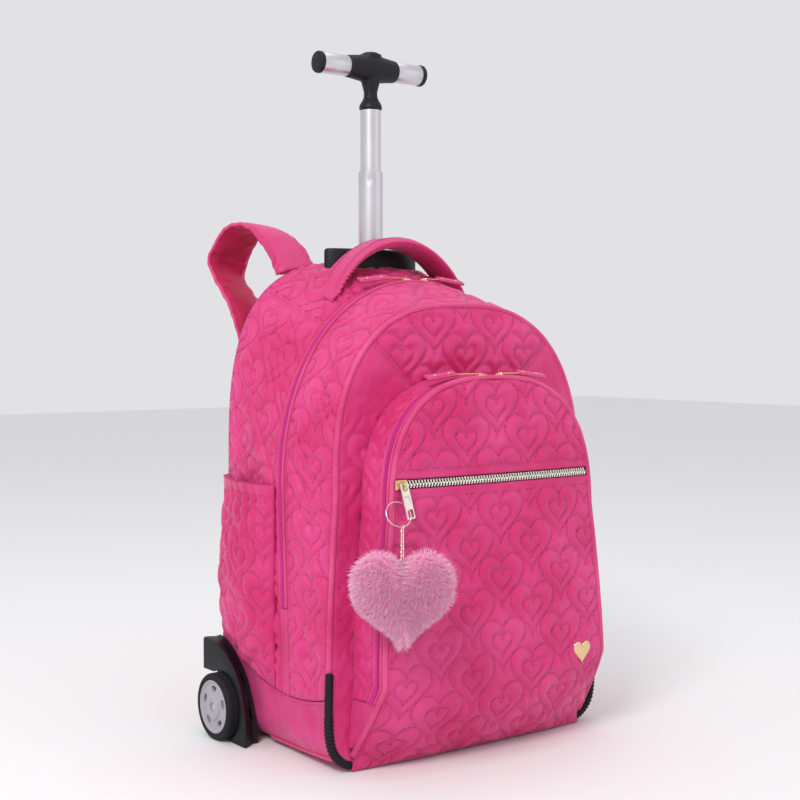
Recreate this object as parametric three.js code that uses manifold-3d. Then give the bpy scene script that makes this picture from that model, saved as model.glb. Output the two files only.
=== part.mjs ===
// A wheeled backpack: a quilted arch-shaped bag with a front pocket, side bottle pockets,
// shoulder straps, a padded carry handle, a telescopic pull pole with a T-grip, and two
// corner wheels. Millimetres, +Z up, front towards -Y, origin under the middle of the base.
import * as THREE from 'three';
import { mergeVertices } from 'three/addons/utils/BufferGeometryUtils.js';
import Module from 'manifold-3d';

const wasm = await Module();
wasm.setup();

// Bag body
const bagHeight = 470;
const bagHalfWidth = 161;
const bagDepth = 195;
const bagFront = -85;
const bagCorner = 33;
const quiltWall = 3;
const plainWall = 2;
const seamGap = 0.3;
const lowerPanelHeight = 58;
const lowerPanelRise = 41;
const lowerPanelLowPoint = 0.333;
const frontPanelBulge = 4;

// Trim on the body
const zipTapeWidth = 13;
const zipEndHeight = 140;
const pipingRadius = 2.7;
const guardRadius = 4;
const guardTop = 92;
const guardRibs = 11;
const guardReach = 52;

// Front pocket
const pocketHeight = 355;
const pocketHalfWidth = 132;
const pocketDepth = 45;
const pocketLean = 11;
const pocketKnee = 84;
const pocketFoot = 12;
const pocketFlare = 8;
const pocketDraft = 3;
const pocketBulge = 5;
const pocketZipEnd = 66;
const metalZipHeight = 262;
const metalZipWidth = 8;

// Side pockets
const sidePocketTop = 256;
const sidePocketDip = 5;
const sidePocketBulge = 17;
const sidePocketMouth = 13;
const sidePocketHem = 12;
const sidePocketGathers = 7;

// Carry handle
const handleAhead = 38;
const handleReach = 88;
const handleLift = 29;
const handleWidth = 34;
const handleThickness = 11;

// Shoulder straps
const strapWidth = 44;
const strapThickness = 7;
const strapReach = 96;
const strapRise = 54;
const strapRoot = 68;
const strapSeatDrop = 8;
const strapDrop = 256;
const webbingWidth = 25;
const webbingThickness = 1.8;

// Pull pole and its T-grip
const poleInset = 32;
const outerTubeRadius = 14.5;
const midTubeRadius = 12.7;
const innerTubeRadius = 10.7;
const tubeWall = 1.5;
const midTubeShown = 81;
const midTubeLength = 304;
const innerTubeShown = 63.7;
const innerTubeLength = 298;
const tubeSides = 20;
const collarHalfWidth = 57;
const collarHalfDepth = 17;
const collarProud = 20.5;
const collarHeight = 30;
const footRadius = 24;
const footHeight = 26;
const footFloor = 7;
const gripRise = 42.3;
const gripHalfLength = 67;
const gripRadius = 10.5;
const gripCapLength = 5;
const coreHalfLength = 30;
const coreRadius = 14.5;
const neckWaist = 7;
const gripSides = 16;
const buttonRadius = 8.5;
const buttonHeight = 12;
const buttonProud = 2.5;
const buttonTravel = 3.5;

// Wheels and their housings
const wheelRadius = 32.5;
const wheelWidth = 24;
const wheelStandOff = 17;
const wheelInset = 36;
const hubRadius = 26;
const hubWeb = 4;
const hubHoles = 5;
const axleRadius = 4;
const axleClearance = 0.3;
const wellClearance = 2;
const housingReach = 73;
const housingHeight = 94;
const housingFlare = 8;
const housingThickness = 19;
const housingFoot = 0.6;

// Fur heart on its ring and chain, and the small metal trim
const ringRadius = 12;
const ringWire = 0.8;
const linkWidth = 4.4;
const linkWire = 0.5;
const linkCount = 7;
const furWidth = 93;
const furHeight = 88;
const furThickness = 40;
const furLock = 4;
const badgeWidth = 22;
const badgeThickness = 2.4;
const furTurn = 0.56;
const furNotchShare = 0.26;
const furAside = 19;
const furAhead = 25;
const furDrop = 97;
const badgeInset = 31;
const badgeRise = 2;
const sliderInset = 19;
const sliderHeight = 9;
const sliderLength = 12;
const stapleReach = 6.4;
const stapleWire = 1.4;
const pullerLength = 33;
const pullerWidth = 9;
const pullerLean = 0.16;
const pullerSwing = 0.16;
const ringTurn = 0.15;
const ringTilt = 0.5;
const tabLength = 34;
const tabWidth = 9;
const tabThickness = 3.4;
const tabSlope = 0.12;
const coilSliderLength = 11;
const coilSliderWidth = 7.5;
const coilLoopRadius = 2.6;
const coilLoopWire = 0.7;

// How finely the outlines are divided
const cornerSteps = 4;
const sideSteps = 3;
const archSteps = 8;
const faceColumns = 8;

// Outlines of the body seen from the front, at the back seam, the main zipper and the front
// seam. Depths are shares of bagDepth, widths of bagHalfWidth, heights of bagHeight.
const bodySections = {
  back: { depthFoot: 1.0, depthCrown: 1.0, foot: 0.994, waist: 0.944, spring: 0.56, crown: 1.0, power: 3.0 },
  zip: { depthFoot: 0.359, depthCrown: 0.461, foot: 1.0, waist: 1.0, spring: 0.532, crown: 0.953, power: 2.05 },
  front: { depthFoot: 0.0, depthCrown: 0.067, foot: 1.0, waist: 0.919, spring: 0.532, crown: 0.9, power: 2.6 },
};

function mix(a, b, share) {
  return a + (b - a) * share;
}

// A body section part of the way between two rows of the table, in millimetres.
function bodySection(from, to, share) {
  const value = (key) => mix(from[key], to[key], share);
  return {
    foot: bagHalfWidth * value('foot'),
    waist: bagHalfWidth * value('waist'),
    spring: bagHeight * value('spring'),
    crown: bagHeight * value('crown'),
    power: value('power'),
    corner: bagCorner,
    base: 0,
  };
}

function bodyDepth(row, z) {
  const share = mix(row.depthFoot, row.depthCrown, z / (bagHeight * row.crown));
  return bagFront + bagDepth * share;
}

// The same section drawn in by a distance all round.
function insetSection(section, by) {
  return {
    ...section,
    foot: section.foot - by,
    waist: section.waist - by,
    crown: section.crown - by,
    corner: section.corner - by,
    base: section.base + by,
  };
}

function halfAt(section, z) {
  const shoulder = section.base + section.corner;
  if (z < shoulder) {
    const drop = shoulder - z;
    return section.foot - section.corner + Math.sqrt(Math.max(0, section.corner ** 2 - drop ** 2));
  }
  if (z < section.spring) {
    const share = (z - shoulder) / (section.spring - shoulder);
    return mix(section.foot, section.waist, share ** 1.6);
  }
  const rise = Math.min(1, (z - section.spring) / (section.crown - section.spring));
  return section.waist * (1 - rise ** section.power) ** (1 / section.power);
}

// Edge points of a section from a low height up to just short of its crown.
function edgeLadder(section, low) {
  const ladder = [];
  for (let i = 0; i < sideSteps; i++) {
    const z = mix(low, section.spring, i / sideSteps);
    ladder.push({ z, half: halfAt(section, z) });
  }
  for (let i = 0; i < archSteps; i++) {
    const angle = (Math.PI / 2) * (i / archSteps) ** 1.2;
    ladder.push({
      z: mix(section.spring, section.crown, Math.sin(angle) ** (2 / section.power)),
      half: section.waist * Math.cos(angle) ** (2 / section.power),
    });
  }
  return ladder;
}

// Height of the seam between the quilted sides and the plain lower panel.
function lowerSeam(y) {
  const lowPoint = bagFront + bagDepth * lowerPanelLowPoint;
  const share = (y - lowPoint) / (bagFront + bagDepth - lowPoint);
  return lowerPanelHeight + lowerPanelRise * share ** 2;
}

// Half-width of the finished body at a depth and a height.
function surfaceHalf(y, z) {
  const zipAt = bodyDepth(bodySections.zip, z);
  const backAt = bodyDepth(bodySections.back, z);
  const frontAt = bodyDepth(bodySections.front, z);
  if (y >= zipAt) {
    const share = Math.min(1, (y - zipAt) / (backAt - zipAt));
    return halfAt(bodySection(bodySections.zip, bodySections.back, share), z);
  }
  return halfAt(bodySection(bodySections.zip, bodySections.front, (zipAt - y) / (zipAt - frontAt)), z);
}

// Height of the bag's top at a place, found by halving.
function surfaceTop(x, y) {
  let low = bagHeight / 2;
  let high = bagHeight;
  for (let i = 0; i < 30; i++) {
    const middle = (low + high) / 2;
    if (surfaceHalf(y, middle) > Math.abs(x)) low = middle;
    else high = middle;
  }
  return low;
}

// Places that follow from the sizes above.
const backPlane = bagFront + bagDepth + seamGap;
const poleDepth = bagFront + bagDepth - poleInset;
const handleDepth = poleDepth - handleAhead;
const strapTop = bagHeight - strapSeatDrop;
const collarTop = surfaceTop(0, poleDepth) + collarProud;
const outerTubeTop = collarTop - 1;
const midTubeTop = collarTop + midTubeShown;
const innerTubeTop = midTubeTop + innerTubeShown;
const gripHeight = innerTubeTop + gripRise;
const wheelOffset = bagHalfWidth + wheelStandOff;
const wheelDepth = backPlane + quiltWall - wheelInset;
const housingSeat = bagHalfWidth * mix(bodySections.zip.foot, bodySections.back.foot, 0.35) + seamGap;
const housingFace = housingSeat + housingThickness;
const housingBack = backPlane + quiltWall;
const sliderX = sliderInset - pocketHalfWidth;
const furPlace = { x: sliderX - furAside, y: bagFront - pocketDepth - furAhead, z: metalZipHeight - furDrop };
const badgePlace = { x: pocketHalfWidth - badgeInset, z: pocketKnee + badgeRise };

function geometryOf(positions, faces) {
  const geometry = new THREE.BufferGeometry();
  geometry.setAttribute('position', new THREE.Float32BufferAttribute(positions.flat(), 3));
  geometry.setIndex(faces.flat());
  return geometry;
}

function facingOut(geometry) {
  const position = geometry.attributes.position;
  const index = geometry.index;
  const a = new THREE.Vector3();
  const b = new THREE.Vector3();
  const c = new THREE.Vector3();
  let volume = 0;
  for (let i = 0; i < index.count; i += 3) {
    a.fromBufferAttribute(position, index.getX(i));
    b.fromBufferAttribute(position, index.getX(i + 1));
    c.fromBufferAttribute(position, index.getX(i + 2));
    volume += a.dot(b.cross(c));
  }
  if (volume < 0) {
    for (let i = 0; i < index.count; i += 3) {
      const kept = index.getX(i);
      index.setX(i, index.getX(i + 2));
      index.setX(i + 2, kept);
    }
  }
  return geometry;
}

// Shifts every point of a grid along the grid's own normal, keeping one axis as it is.
function shifted(grid, by, keptAxis) {
  const point = (i, j) => new THREE.Vector3(...grid[i][j]);
  return grid.map((row, i) =>
    row.map((_, j) => {
      const along = point(Math.min(i + 1, grid.length - 1), j).sub(point(Math.max(i - 1, 0), j));
      const across = point(i, Math.min(j + 1, row.length - 1)).sub(point(i, Math.max(j - 1, 0)));
      const normal = along.cross(across);
      if (keptAxis) normal[keptAxis] = 0;
      normal.normalize();
      return point(i, j).addScaledVector(normal, by).toArray();
    }),
  );
}

// A closed solid between two grids of points of the same size.
function solidBetween(outer, inner) {
  const rows = outer.length;
  const columns = outer[0].length;
  const positions = [...outer.flat(), ...inner.flat()];
  const at = (side, i, j) => side * rows * columns + i * columns + j;
  const faces = [];
  const quad = (a, b, c, d) => faces.push([a, b, c], [a, c, d]);
  for (let i = 0; i < rows - 1; i++) {
    for (let j = 0; j < columns - 1; j++) {
      quad(at(0, i, j), at(0, i, j + 1), at(0, i + 1, j + 1), at(0, i + 1, j));
      quad(at(1, i, j), at(1, i + 1, j), at(1, i + 1, j + 1), at(1, i, j + 1));
    }
  }
  for (let j = 0; j < columns - 1; j++) {
    quad(at(0, 0, j), at(1, 0, j), at(1, 0, j + 1), at(0, 0, j + 1));
    quad(at(0, rows - 1, j), at(0, rows - 1, j + 1), at(1, rows - 1, j + 1), at(1, rows - 1, j));
  }
  for (let i = 0; i < rows - 1; i++) {
    quad(at(0, i, 0), at(0, i + 1, 0), at(1, i + 1, 0), at(1, i, 0));
    quad(at(0, i, columns - 1), at(1, i, columns - 1), at(1, i + 1, columns - 1), at(0, i + 1, columns - 1));
  }
  return facingOut(geometryOf(positions, faces));
}

// A cloth wall whose outer side is the grid; inward is +1 or -1 along the grid's normal.
function clothSolid(grid, wall, inward, keptAxis = 'y') {
  return solidBetween(grid, shifted(grid, wall * inward, keptAxis));
}

function bare(geometry) {
  const plain = geometry.clone();
  plain.deleteAttribute('normal');
  plain.deleteAttribute('uv');
  return plain;
}

function toManifold(geometry) {
  const merged = mergeVertices(bare(geometry), 1e-4);
  return new wasm.Manifold(
    new wasm.Mesh({
      numProp: 3,
      vertProperties: new Float32Array(merged.attributes.position.array),
      triVerts: new Uint32Array(merged.index.array),
    }),
  );
}

function fromManifold(solid) {
  const result = solid.getMesh();
  const geometry = new THREE.BufferGeometry();
  geometry.setAttribute('position', new THREE.BufferAttribute(new Float32Array(result.vertProperties), 3));
  geometry.setIndex(new THREE.BufferAttribute(new Uint32Array(result.triVerts), 1));
  return geometry;
}

function joined(...geometries) {
  return fromManifold(geometries.map(toManifold).reduce((sum, next) => sum.add(next)));
}

function without(geometry, ...cutters) {
  return fromManifold(cutters.map(toManifold).reduce((sum, next) => sum.subtract(next), toManifold(geometry)));
}

function moved(geometry, x, y, z) {
  return geometry.clone().translate(x, y, z);
}

function mirrored(geometry) {
  const copy = mergeVertices(bare(geometry), 1e-4).scale(-1, 1, 1);
  return facingOut(copy);
}

function box(width, depth, height, x, y, z) {
  return moved(new THREE.BoxGeometry(width, depth, height), x, y, z);
}

// An upright cylinder from one height to another.
function post(radius, low, high, x, y, sides = tubeSides) {
  const geometry = new THREE.CylinderGeometry(radius, radius, high - low, sides);
  return moved(geometry.rotateX(Math.PI / 2), x, y, (low + high) / 2);
}

// An upright tube, turned from its wall's outline.
function tube(radius, wall, low, high, x, y) {
  const outline = [
    [radius - wall, low],
    [radius, low],
    [radius, high],
    [radius - wall, high],
    [radius - wall, low],
  ];
  return moved(turned(outline, tubeSides), x, y, 0);
}

// A turned body with its axis along Z; each outline point is a radius and a height.
function turned(outline, sides) {
  const points = outline.map(([radius, height]) => new THREE.Vector2(radius, height));
  const geometry = mergeVertices(bare(new THREE.LatheGeometry(points, sides)), 1e-4);
  return facingOut(geometry.rotateX(Math.PI / 2));
}

// The same with its axis along X, pointing towards side * X.
function turnedAcross(outline, sides, side) {
  return facingOut(turned(outline, sides).rotateY((Math.PI / 2) * side));
}

function cordAlong(points, radius, sides, steps) {
  const section = new THREE.Shape();
  for (let i = 0; i < sides; i++) {
    const angle = (2 * Math.PI * i) / sides;
    const place = [radius * Math.cos(angle), radius * Math.sin(angle)];
    if (i === 0) section.moveTo(...place);
    else section.lineTo(...place);
  }
  const path = new THREE.CatmullRomCurve3(points.map((p) => new THREE.Vector3(...p)));
  const geometry = new THREE.ExtrudeGeometry(section, { steps, extrudePath: path, bevelEnabled: false });
  return facingOut(mergeVertices(bare(geometry), 1e-4));
}

// A cord whose radius changes from ring to ring along its path.
function ringedCord(points, sides, rings, radiusAt) {
  const path = new THREE.CatmullRomCurve3(points.map((p) => new THREE.Vector3(...p)));
  const frames = path.computeFrenetFrames(rings, false);
  const positions = [path.getPointAt(0).toArray(), path.getPointAt(1).toArray()];
  for (let i = 0; i <= rings; i++) {
    const centre = path.getPointAt(i / rings);
    for (let j = 0; j < sides; j++) {
      const angle = (2 * Math.PI * j) / sides;
      const point = centre.clone();
      point.addScaledVector(frames.normals[i], radiusAt(i) * Math.cos(angle));
      point.addScaledVector(frames.binormals[i], radiusAt(i) * Math.sin(angle));
      positions.push(point.toArray());
    }
  }
  const at = (i, j) => 2 + i * sides + (j % sides);
  const faces = [];
  for (let j = 0; j < sides; j++) {
    faces.push([0, at(0, j + 1), at(0, j)], [1, at(rings, j), at(rings, j + 1)]);
    for (let i = 0; i < rings; i++) {
      faces.push([at(i, j), at(i, j + 1), at(i + 1, j + 1)], [at(i, j), at(i + 1, j + 1), at(i + 1, j)]);
    }
  }
  return facingOut(geometryOf(positions, faces));
}

const group = new THREE.Group();

function addPiece(name, geometry, look) {
  const mesh = new THREE.Mesh(geometry, new THREE.MeshStandardMaterial(look));
  mesh.name = name;
  group.add(mesh);
  return mesh;
}

const quiltLook = { color: 0xdd3a84, roughness: 0.75, metalness: 0 };
const plainLook = { color: 0xd63c86, roughness: 0.7, metalness: 0 };
const zipLook = { color: 0xc4218c, roughness: 0.6, metalness: 0 };
const pipingLook = { color: 0xe0488f, roughness: 0.6, metalness: 0 };
const rubberLook = { color: 0x17161a, roughness: 0.65, metalness: 0 };
const plasticLook = { color: 0x2a272d, roughness: 0.5, metalness: 0 };
const hubLook = { color: 0xa7a2ad, roughness: 0.4, metalness: 0.3 };
const tubeLook = { color: 0xc9c6ce, roughness: 0.25, metalness: 0.9 };
const goldLook = { color: 0xe3c9a0, roughness: 0.25, metalness: 1 };
const silverLook = { color: 0xd8d4d2, roughness: 0.2, metalness: 1 };
const furLook = { color: 0xee82b4, roughness: 0.95, metalness: 0 };
const sides = { left: -1, right: 1 };

// One row of points over the arch of a section, from the left foot to the right one.
function archRow(section, depth, low) {
  const ladder = edgeLadder(section, low);
  const left = ladder.map(({ z, half }) => [-half, depth(z), z]);
  const right = [...ladder].reverse().map(({ z, half }) => [half, depth(z), z]);
  return [...left, [0, depth(section.crown), section.crown], ...right];
}

// Rows over the arch from one body section to another; the shifts move their depths.
function archBand(from, fromShift, to, toShift, rows, lowAt) {
  const grid = [];
  for (let i = 0; i <= rows; i++) {
    const share = i / rows;
    const depth = (z) => mix(bodyDepth(from, z) + fromShift, bodyDepth(to, z) + toShift, share);
    grid.push(archRow(bodySection(from, to, share), depth, lowAt(depth(lowerPanelHeight))));
  }
  return grid;
}

const tapeEdge = zipTapeWidth / 2;
const pipingSeat = pipingRadius + seamGap;
const aboveSeam = (y) => lowerSeam(y) + 2 * seamGap;
const atZipEnd = () => zipEndHeight + seamGap;

// Rear gusset, from the back seam to the main zipper, with the pole's hole in its top.
const rearGrid = archBand(bodySections.back, 0, bodySections.zip, tapeEdge + seamGap, 3, aboveSeam);
const poleHole = post(outerTubeRadius + seamGap, bagHeight * 0.8, bagHeight * 1.1, 0, poleDepth);
addPiece('rear_gusset', without(clothSolid(rearGrid, quiltWall, -1), poleHole), quiltLook);

// Main zipper over the arch, and the plain strips that carry on below its ends.
const zipGrid = archBand(bodySections.zip, tapeEdge, bodySections.zip, -tapeEdge, 1, atZipEnd);
addPiece('main_zipper', clothSolid(zipGrid, plainWall, -1), zipLook);
const stripSection = bodySection(bodySections.zip, bodySections.zip, 0);
for (const [name, side] of Object.entries(sides)) {
  const strip = [tapeEdge, -tapeEdge].map((shift) => {
    const low = lowerSeam(bodyDepth(bodySections.zip, lowerPanelHeight) + tapeEdge) + seamGap;
    return [0, 0.5, 1].map((share) => {
      const z = mix(low, zipEndHeight, share);
      return [side * halfAt(stripSection, z), bodyDepth(bodySections.zip, z) + shift, z];
    });
  });
  addPiece(`zipper_strip_${name}`, clothSolid(strip, plainWall, side), plainLook);
}

// Front gusset, from the main zipper to the piped front seam.
const frontGrid = archBand(bodySections.zip, -tapeEdge - seamGap, bodySections.front, pipingSeat, 2, aboveSeam);
const frontGusset = clothSolid(frontGrid, quiltWall, -1);

// Plain lower panel: one tray under the bag that turns up the sides to the lower seam.
function trayRow(section, depth, high) {
  const left = [];
  const shoulder = section.base + section.corner;
  for (let i = 0; i < 2; i++) {
    const z = mix(high, shoulder, i / 2);
    left.push([-halfAt(section, z), depth(z), z]);
  }
  for (let i = 0; i <= cornerSteps; i++) {
    const angle = ((Math.PI / 2) * i) / cornerSteps;
    const x = section.foot - section.corner + section.corner * Math.cos(angle);
    const z = shoulder - section.corner * Math.sin(angle);
    left.push([-x, depth(z), z]);
  }
  const right = [...left].reverse().map(([x, y, z]) => [-x, y, z]);
  return [...left, ...right];
}

const trayGrid = [];
const trayRows = 6;
for (let i = 0; i <= trayRows; i++) {
  const share = i / trayRows;
  const y = mix(bagFront + bagDepth, bagFront + pipingSeat, share);
  const section = bodySection(bodySections.back, bodySections.front, share);
  trayGrid.push(trayRow(section, () => y, lowerSeam(y) - seamGap));
}
const baseTray = clothSolid(trayGrid, quiltWall, 1);

// An upright panel inside a section's outline, between two heights.
function panelRows(section, low, high) {
  const rows = [];
  const shoulder = section.base + section.corner;
  for (let i = 1; i <= cornerSteps; i++) {
    rows.push(section.base + section.corner * (1 - Math.cos(((Math.PI / 2) * i) / cornerSteps)));
  }
  for (let i = 1; i <= sideSteps; i++) rows.push(mix(shoulder, section.spring, i / sideSteps));
  for (let i = 1; i <= archSteps; i++) {
    const angle = 1.53 * (i / archSteps) ** 1.2;
    rows.push(mix(section.spring, section.crown, Math.sin(angle) ** (2 / section.power)));
  }
  const between = rows.filter((z) => z > low + 1 && z < high - 1);
  return [low, ...between, high];
}

function panelGrid(section, depth, columns, low, high) {
  return panelRows(section, low, high).map((z) => {
    const half = halfAt(section, z);
    const row = [];
    for (let j = 0; j <= columns; j++) {
      row.push([half * ((2 * j) / columns - 1), depth(z), z]);
    }
    return row;
  });
}

// Back panel, closing the rear of the bag.
const backSection = bodySection(bodySections.back, bodySections.back, 0);
const backLow = 2;
const backGrid = panelGrid(backSection, () => backPlane, 1, backLow, bagHeight - 2 * seamGap);
addPiece('back_panel', clothSolid(backGrid, quiltWall, 1, 'z'), quiltLook);

// Front panel, inside the piped front seam and behind the pocket.
const frontSection = insetSection(bodySection(bodySections.front, bodySections.front, 0), pipingSeat + 0.6);
const frontDepth = (z) => bodyDepth(bodySections.front, z) - quiltWall / 2;
const frontPanelGrid = panelGrid(frontSection, frontDepth, 4, frontSection.base + 0.4, frontSection.crown - 2 * seamGap);
for (const row of frontPanelGrid) {
  for (const point of row) {
    const rise = Math.max(0, point[2] - pocketHeight) / (frontSection.crown - pocketHeight);
    const share = Math.abs(point[0]) / frontSection.waist;
    point[1] -= frontPanelBulge * Math.sin(Math.PI * rise) * Math.max(0, 1 - share ** 2);
  }
}
const frontPanel = clothSolid(frontPanelGrid, quiltWall, 1, 'z');

// Piping round the front seam, down to the rubber guards on the lower corners.
const pipingSection = bodySection(bodySections.front, bodySections.front, 0);
const pipingRow = archRow(pipingSection, (z) => bodyDepth(bodySections.front, z), guardTop + guardRadius);
addPiece('body_piping', cordAlong(pipingRow, pipingRadius, 6, 36), pipingLook);

// Ribbed rubber guards round the lower front corners, ending under the front edge.
function guardRoute(side) {
  const route = [
    [bagHalfWidth, guardTop],
    [bagHalfWidth + 1, mix(bagCorner, guardTop, 0.5)],
    [bagHalfWidth, bagCorner],
  ];
  for (let i = 1; i <= 3; i++) {
    const angle = ((Math.PI / 2) * i) / 3;
    route.push([
      bagHalfWidth - bagCorner + bagCorner * Math.cos(angle),
      guardRadius + 0.4 + (bagCorner - guardRadius) * (1 - Math.sin(angle)),
    ]);
  }
  const points = route.map(([x, z]) => [side * x, bagFront, z]);
  const last = points[points.length - 1];
  points.push([last[0] - side * guardReach * 0.5, bagFront, last[2]]);
  return points;
}

// The guard is round in section, plain at its top end, ribbed below and thinner at its toe.
const guardSides = 6;
const guardPlainShare = 0.3;
const guardGroove = 0.9;

function guardRadiusAt(ring, rings) {
  const share = ring / rings;
  const taper = share > 0.85 ? 1 - (share - 0.85) * 2.4 : 1;
  const grooved = share > guardPlainShare && ring % 2 === 1;
  return guardRadius * taper - (grooved ? guardGroove : 0);
}

for (const [name, side] of Object.entries(sides)) {
  const rings = 2 * Math.round(guardRibs / (1 - guardPlainShare));
  addPiece(
    `corner_guard_${name}`,
    ringedCord(guardRoute(side), guardSides, rings, (ring) => guardRadiusAt(ring, rings)),
    rubberLook,
  );
}
const guardRooms = Object.values(sides).map((side) =>
  ringedCord(guardRoute(side), guardSides, 14, () => guardRadius + seamGap + 0.2),
);
addPiece('front_gusset', without(frontGusset, ...guardRooms), quiltLook);
addPiece('base_tray', without(baseTray, ...guardRooms), plainLook);
addPiece('front_panel', without(frontPanel, ...guardRooms), quiltLook);

// Front pocket outline; its lower corners flare and run back to the body's front edge.
const pocketFront = bagFront - pocketDepth;
const pocketSection = {
  foot: pocketHalfWidth,
  waist: pocketHalfWidth * 0.91,
  spring: pocketHeight * 0.648,
  crown: pocketHeight,
  power: 2.6,
  corner: pocketKnee,
  base: 0,
};
const pocketToe = bagFront - quiltWall;

function pocketEdge(z) {
  if (z >= pocketKnee) return pocketFront + (pocketLean * (z - pocketKnee)) / (pocketHeight - pocketKnee);
  const share = (pocketKnee - z) / (pocketKnee - pocketFoot);
  return mix(pocketFront, pocketToe, share ** 1.15);
}

function pocketHalf(z) {
  if (z >= pocketKnee) return halfAt(pocketSection, z);
  return pocketHalfWidth + (pocketFlare * (pocketKnee - z)) / (pocketKnee - pocketFoot);
}

function pocketLadder(low) {
  return edgeLadder(pocketSection, Math.max(low, pocketKnee));
}

// One row over the pocket's arch; grow widens it towards the body.
function pocketRow(depth, grow, low) {
  const rungs = [...(low < pocketKnee ? [{ z: low, half: pocketHalf(low) }] : []), ...pocketLadder(low)];
  const left = rungs.map(({ z, half }) => [-half - grow, depth(z), z]);
  const right = [...rungs].reverse().map(({ z, half }) => [half + grow, depth(z), z]);
  return [...left, [0, depth(pocketHeight), pocketHeight + grow * 0.5], ...right];
}

const pocketBack = (z) => frontDepth(z) - 4 * seamGap;
const zipFront = (z) => pocketEdge(z) + pipingSeat + 2 * seamGap;
const zipRear = (z) => zipFront(z) + zipTapeWidth;
const pocketLow = pocketZipEnd + seamGap;
const gussetGrid = [0, 0.5, 1].map((share) =>
  pocketRow((z) => mix(pocketBack(z) - 0.3, zipRear(z) + seamGap, share), pocketDraft * (1 - share), pocketLow),
);
addPiece('pocket_gusset', clothSolid(gussetGrid, plainWall, -1), quiltLook);
const pocketZipGrid = [pocketRow(zipRear, 0, pocketLow), pocketRow(zipFront, 0, pocketLow)];
addPiece('pocket_zipper', clothSolid(pocketZipGrid, plainWall, -1), zipLook);

// Plain lower ends of the pocket gusset, running out at the body's corner.
const cornerLow = 22;
for (const [name, side] of Object.entries(sides)) {
  const rows = [0, 1, 2, 3, 4].map((i) => {
    const z = mix(pocketZipEnd, cornerLow, i / 4);
    return [0, 0.5, 1].map((share) => [
      side * (pocketHalf(z) + pocketDraft * (1 - share)),
      mix(pocketBack(z) - 0.3, zipFront(z), share),
      z,
    ]);
  });
  addPiece(`pocket_corner_${name}`, clothSolid(rows, plainWall, side), plainLook);
}

// Pocket piping, from one lower corner over the arch to the other.
const pipingRungs = [cornerLow - 6, 30, 48, 66].map((z) => ({ z, half: pocketHalf(z) }));
const pipingLeft = [...pipingRungs, ...pocketLadder(0)].map(({ z, half }) => [-half, pocketEdge(z), z]);
const pipingRight = [...pipingLeft].reverse().map(([x, y, z]) => [-x, y, z]);
const pocketPipingPath = [...pipingLeft, [0, pocketEdge(pocketHeight), pocketHeight], ...pipingRight];
addPiece('pocket_piping', cordAlong(pocketPipingPath, pipingRadius, 6, 48), pipingLook);

// Pocket face: crowned between its piped edges and rolled under at the bottom.
const faceInset = pipingSeat + 0.6;

function faceDepth(share, z) {
  const edge = pocketEdge(Math.max(z, pocketFoot)) - quiltWall / 2;
  const fold = Math.max(0, 1 - z / pocketKnee);
  const middle = mix(pocketFront - pocketBulge, pocketToe - 2, fold ** 2.4);
  const upright = edge - pocketBulge * Math.sin((Math.PI * Math.min(z, pocketHeight)) / (pocketHeight * 1.12));
  const centre = z < pocketKnee ? Math.min(edge, middle) : upright;
  const blend = z < pocketKnee ? centre : Math.min(centre, edge);
  return mix(blend, edge, Math.abs(share) ** 3);
}

function faceGrid(heights, proud) {
  return heights.map((z) => {
    const full = z >= pocketKnee ? halfAt(insetSection(pocketSection, faceInset), z) : pocketHalf(z) - faceInset;
    const row = [];
    for (let j = 0; j <= faceColumns; j++) {
      const share = (2 * j) / faceColumns - 1;
      row.push([full * share, faceDepth(share, z) - proud, z]);
    }
    return row;
  });
}

// The foremost point of the face's flat facets, over a width about a place.
function faceFront(x, width, z) {
  const row = faceGrid([z], 0)[0];
  const at = (place) => {
    const next = row.findIndex((point) => point[0] >= place);
    const j = Math.max(1, next < 0 ? faceColumns : next);
    const [left, right] = [row[j - 1], row[j]];
    return mix(left[1], right[1], (place - left[0]) / (right[0] - left[0]));
  };
  return Math.min(at(x - width / 2), at(x), at(x + width / 2));
}

const metalZipProud = 0.8;
const zipBandLow = metalZipHeight - metalZipWidth / 2;
const zipBandHigh = metalZipHeight + metalZipWidth / 2;
const lowerHeights = [1, 3, 7, 13, 22, 34, 48, 64, pocketKnee, 120, 170, 215, zipBandLow - seamGap];
const upperShares = [0, 0.22, 0.42, 0.6, 0.74, 0.85, 0.93, 0.975, 1];
const faceTop = pocketHeight - faceInset - 0.5;
const upperHeights = upperShares.map((share) => mix(zipBandHigh + seamGap, faceTop, share));
const faceLower = clothSolid(faceGrid(lowerHeights, 0), quiltWall, 1, 'x');
addPiece('pocket_face_lower', without(faceLower, ...guardRooms), quiltLook);
addPiece('pocket_face_upper', clothSolid(faceGrid(upperHeights, 0), quiltWall, 1, 'z'), quiltLook);
addPiece('metal_zipper', clothSolid(faceGrid([zipBandLow, zipBandHigh], metalZipProud), quiltWall, 1, 'z'), goldLook);

// Side bottle pockets: gathered pouches on the rear gusset, open at the top.
const pouchRows = 7;
const pouchColumns = 7;
const pouchRear = bagFront + bagDepth - 1.5;

function pouchTop(y) {
  return sidePocketTop - sidePocketDip * (1 - (y - bagFront) / bagDepth);
}

// Distance of the pouch from the bag: full in the middle, nothing along its sewn edges.
function pouchBulge(across, up) {
  const fullness = Math.sin(Math.PI * across) ** 0.6;
  const belly = Math.sin(Math.PI * Math.min(1, up * 0.62 + 0.12)) ** 0.9 * Math.min(1, up * 6);
  const mouth = (up ** 4 * sidePocketMouth) / sidePocketBulge;
  const gather = up > 0.8 ? 0.05 * Math.cos(2 * Math.PI * sidePocketGathers * across) : 0;
  return sidePocketBulge * fullness * (mix(belly, mouth, up ** 4) + gather);
}

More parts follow.
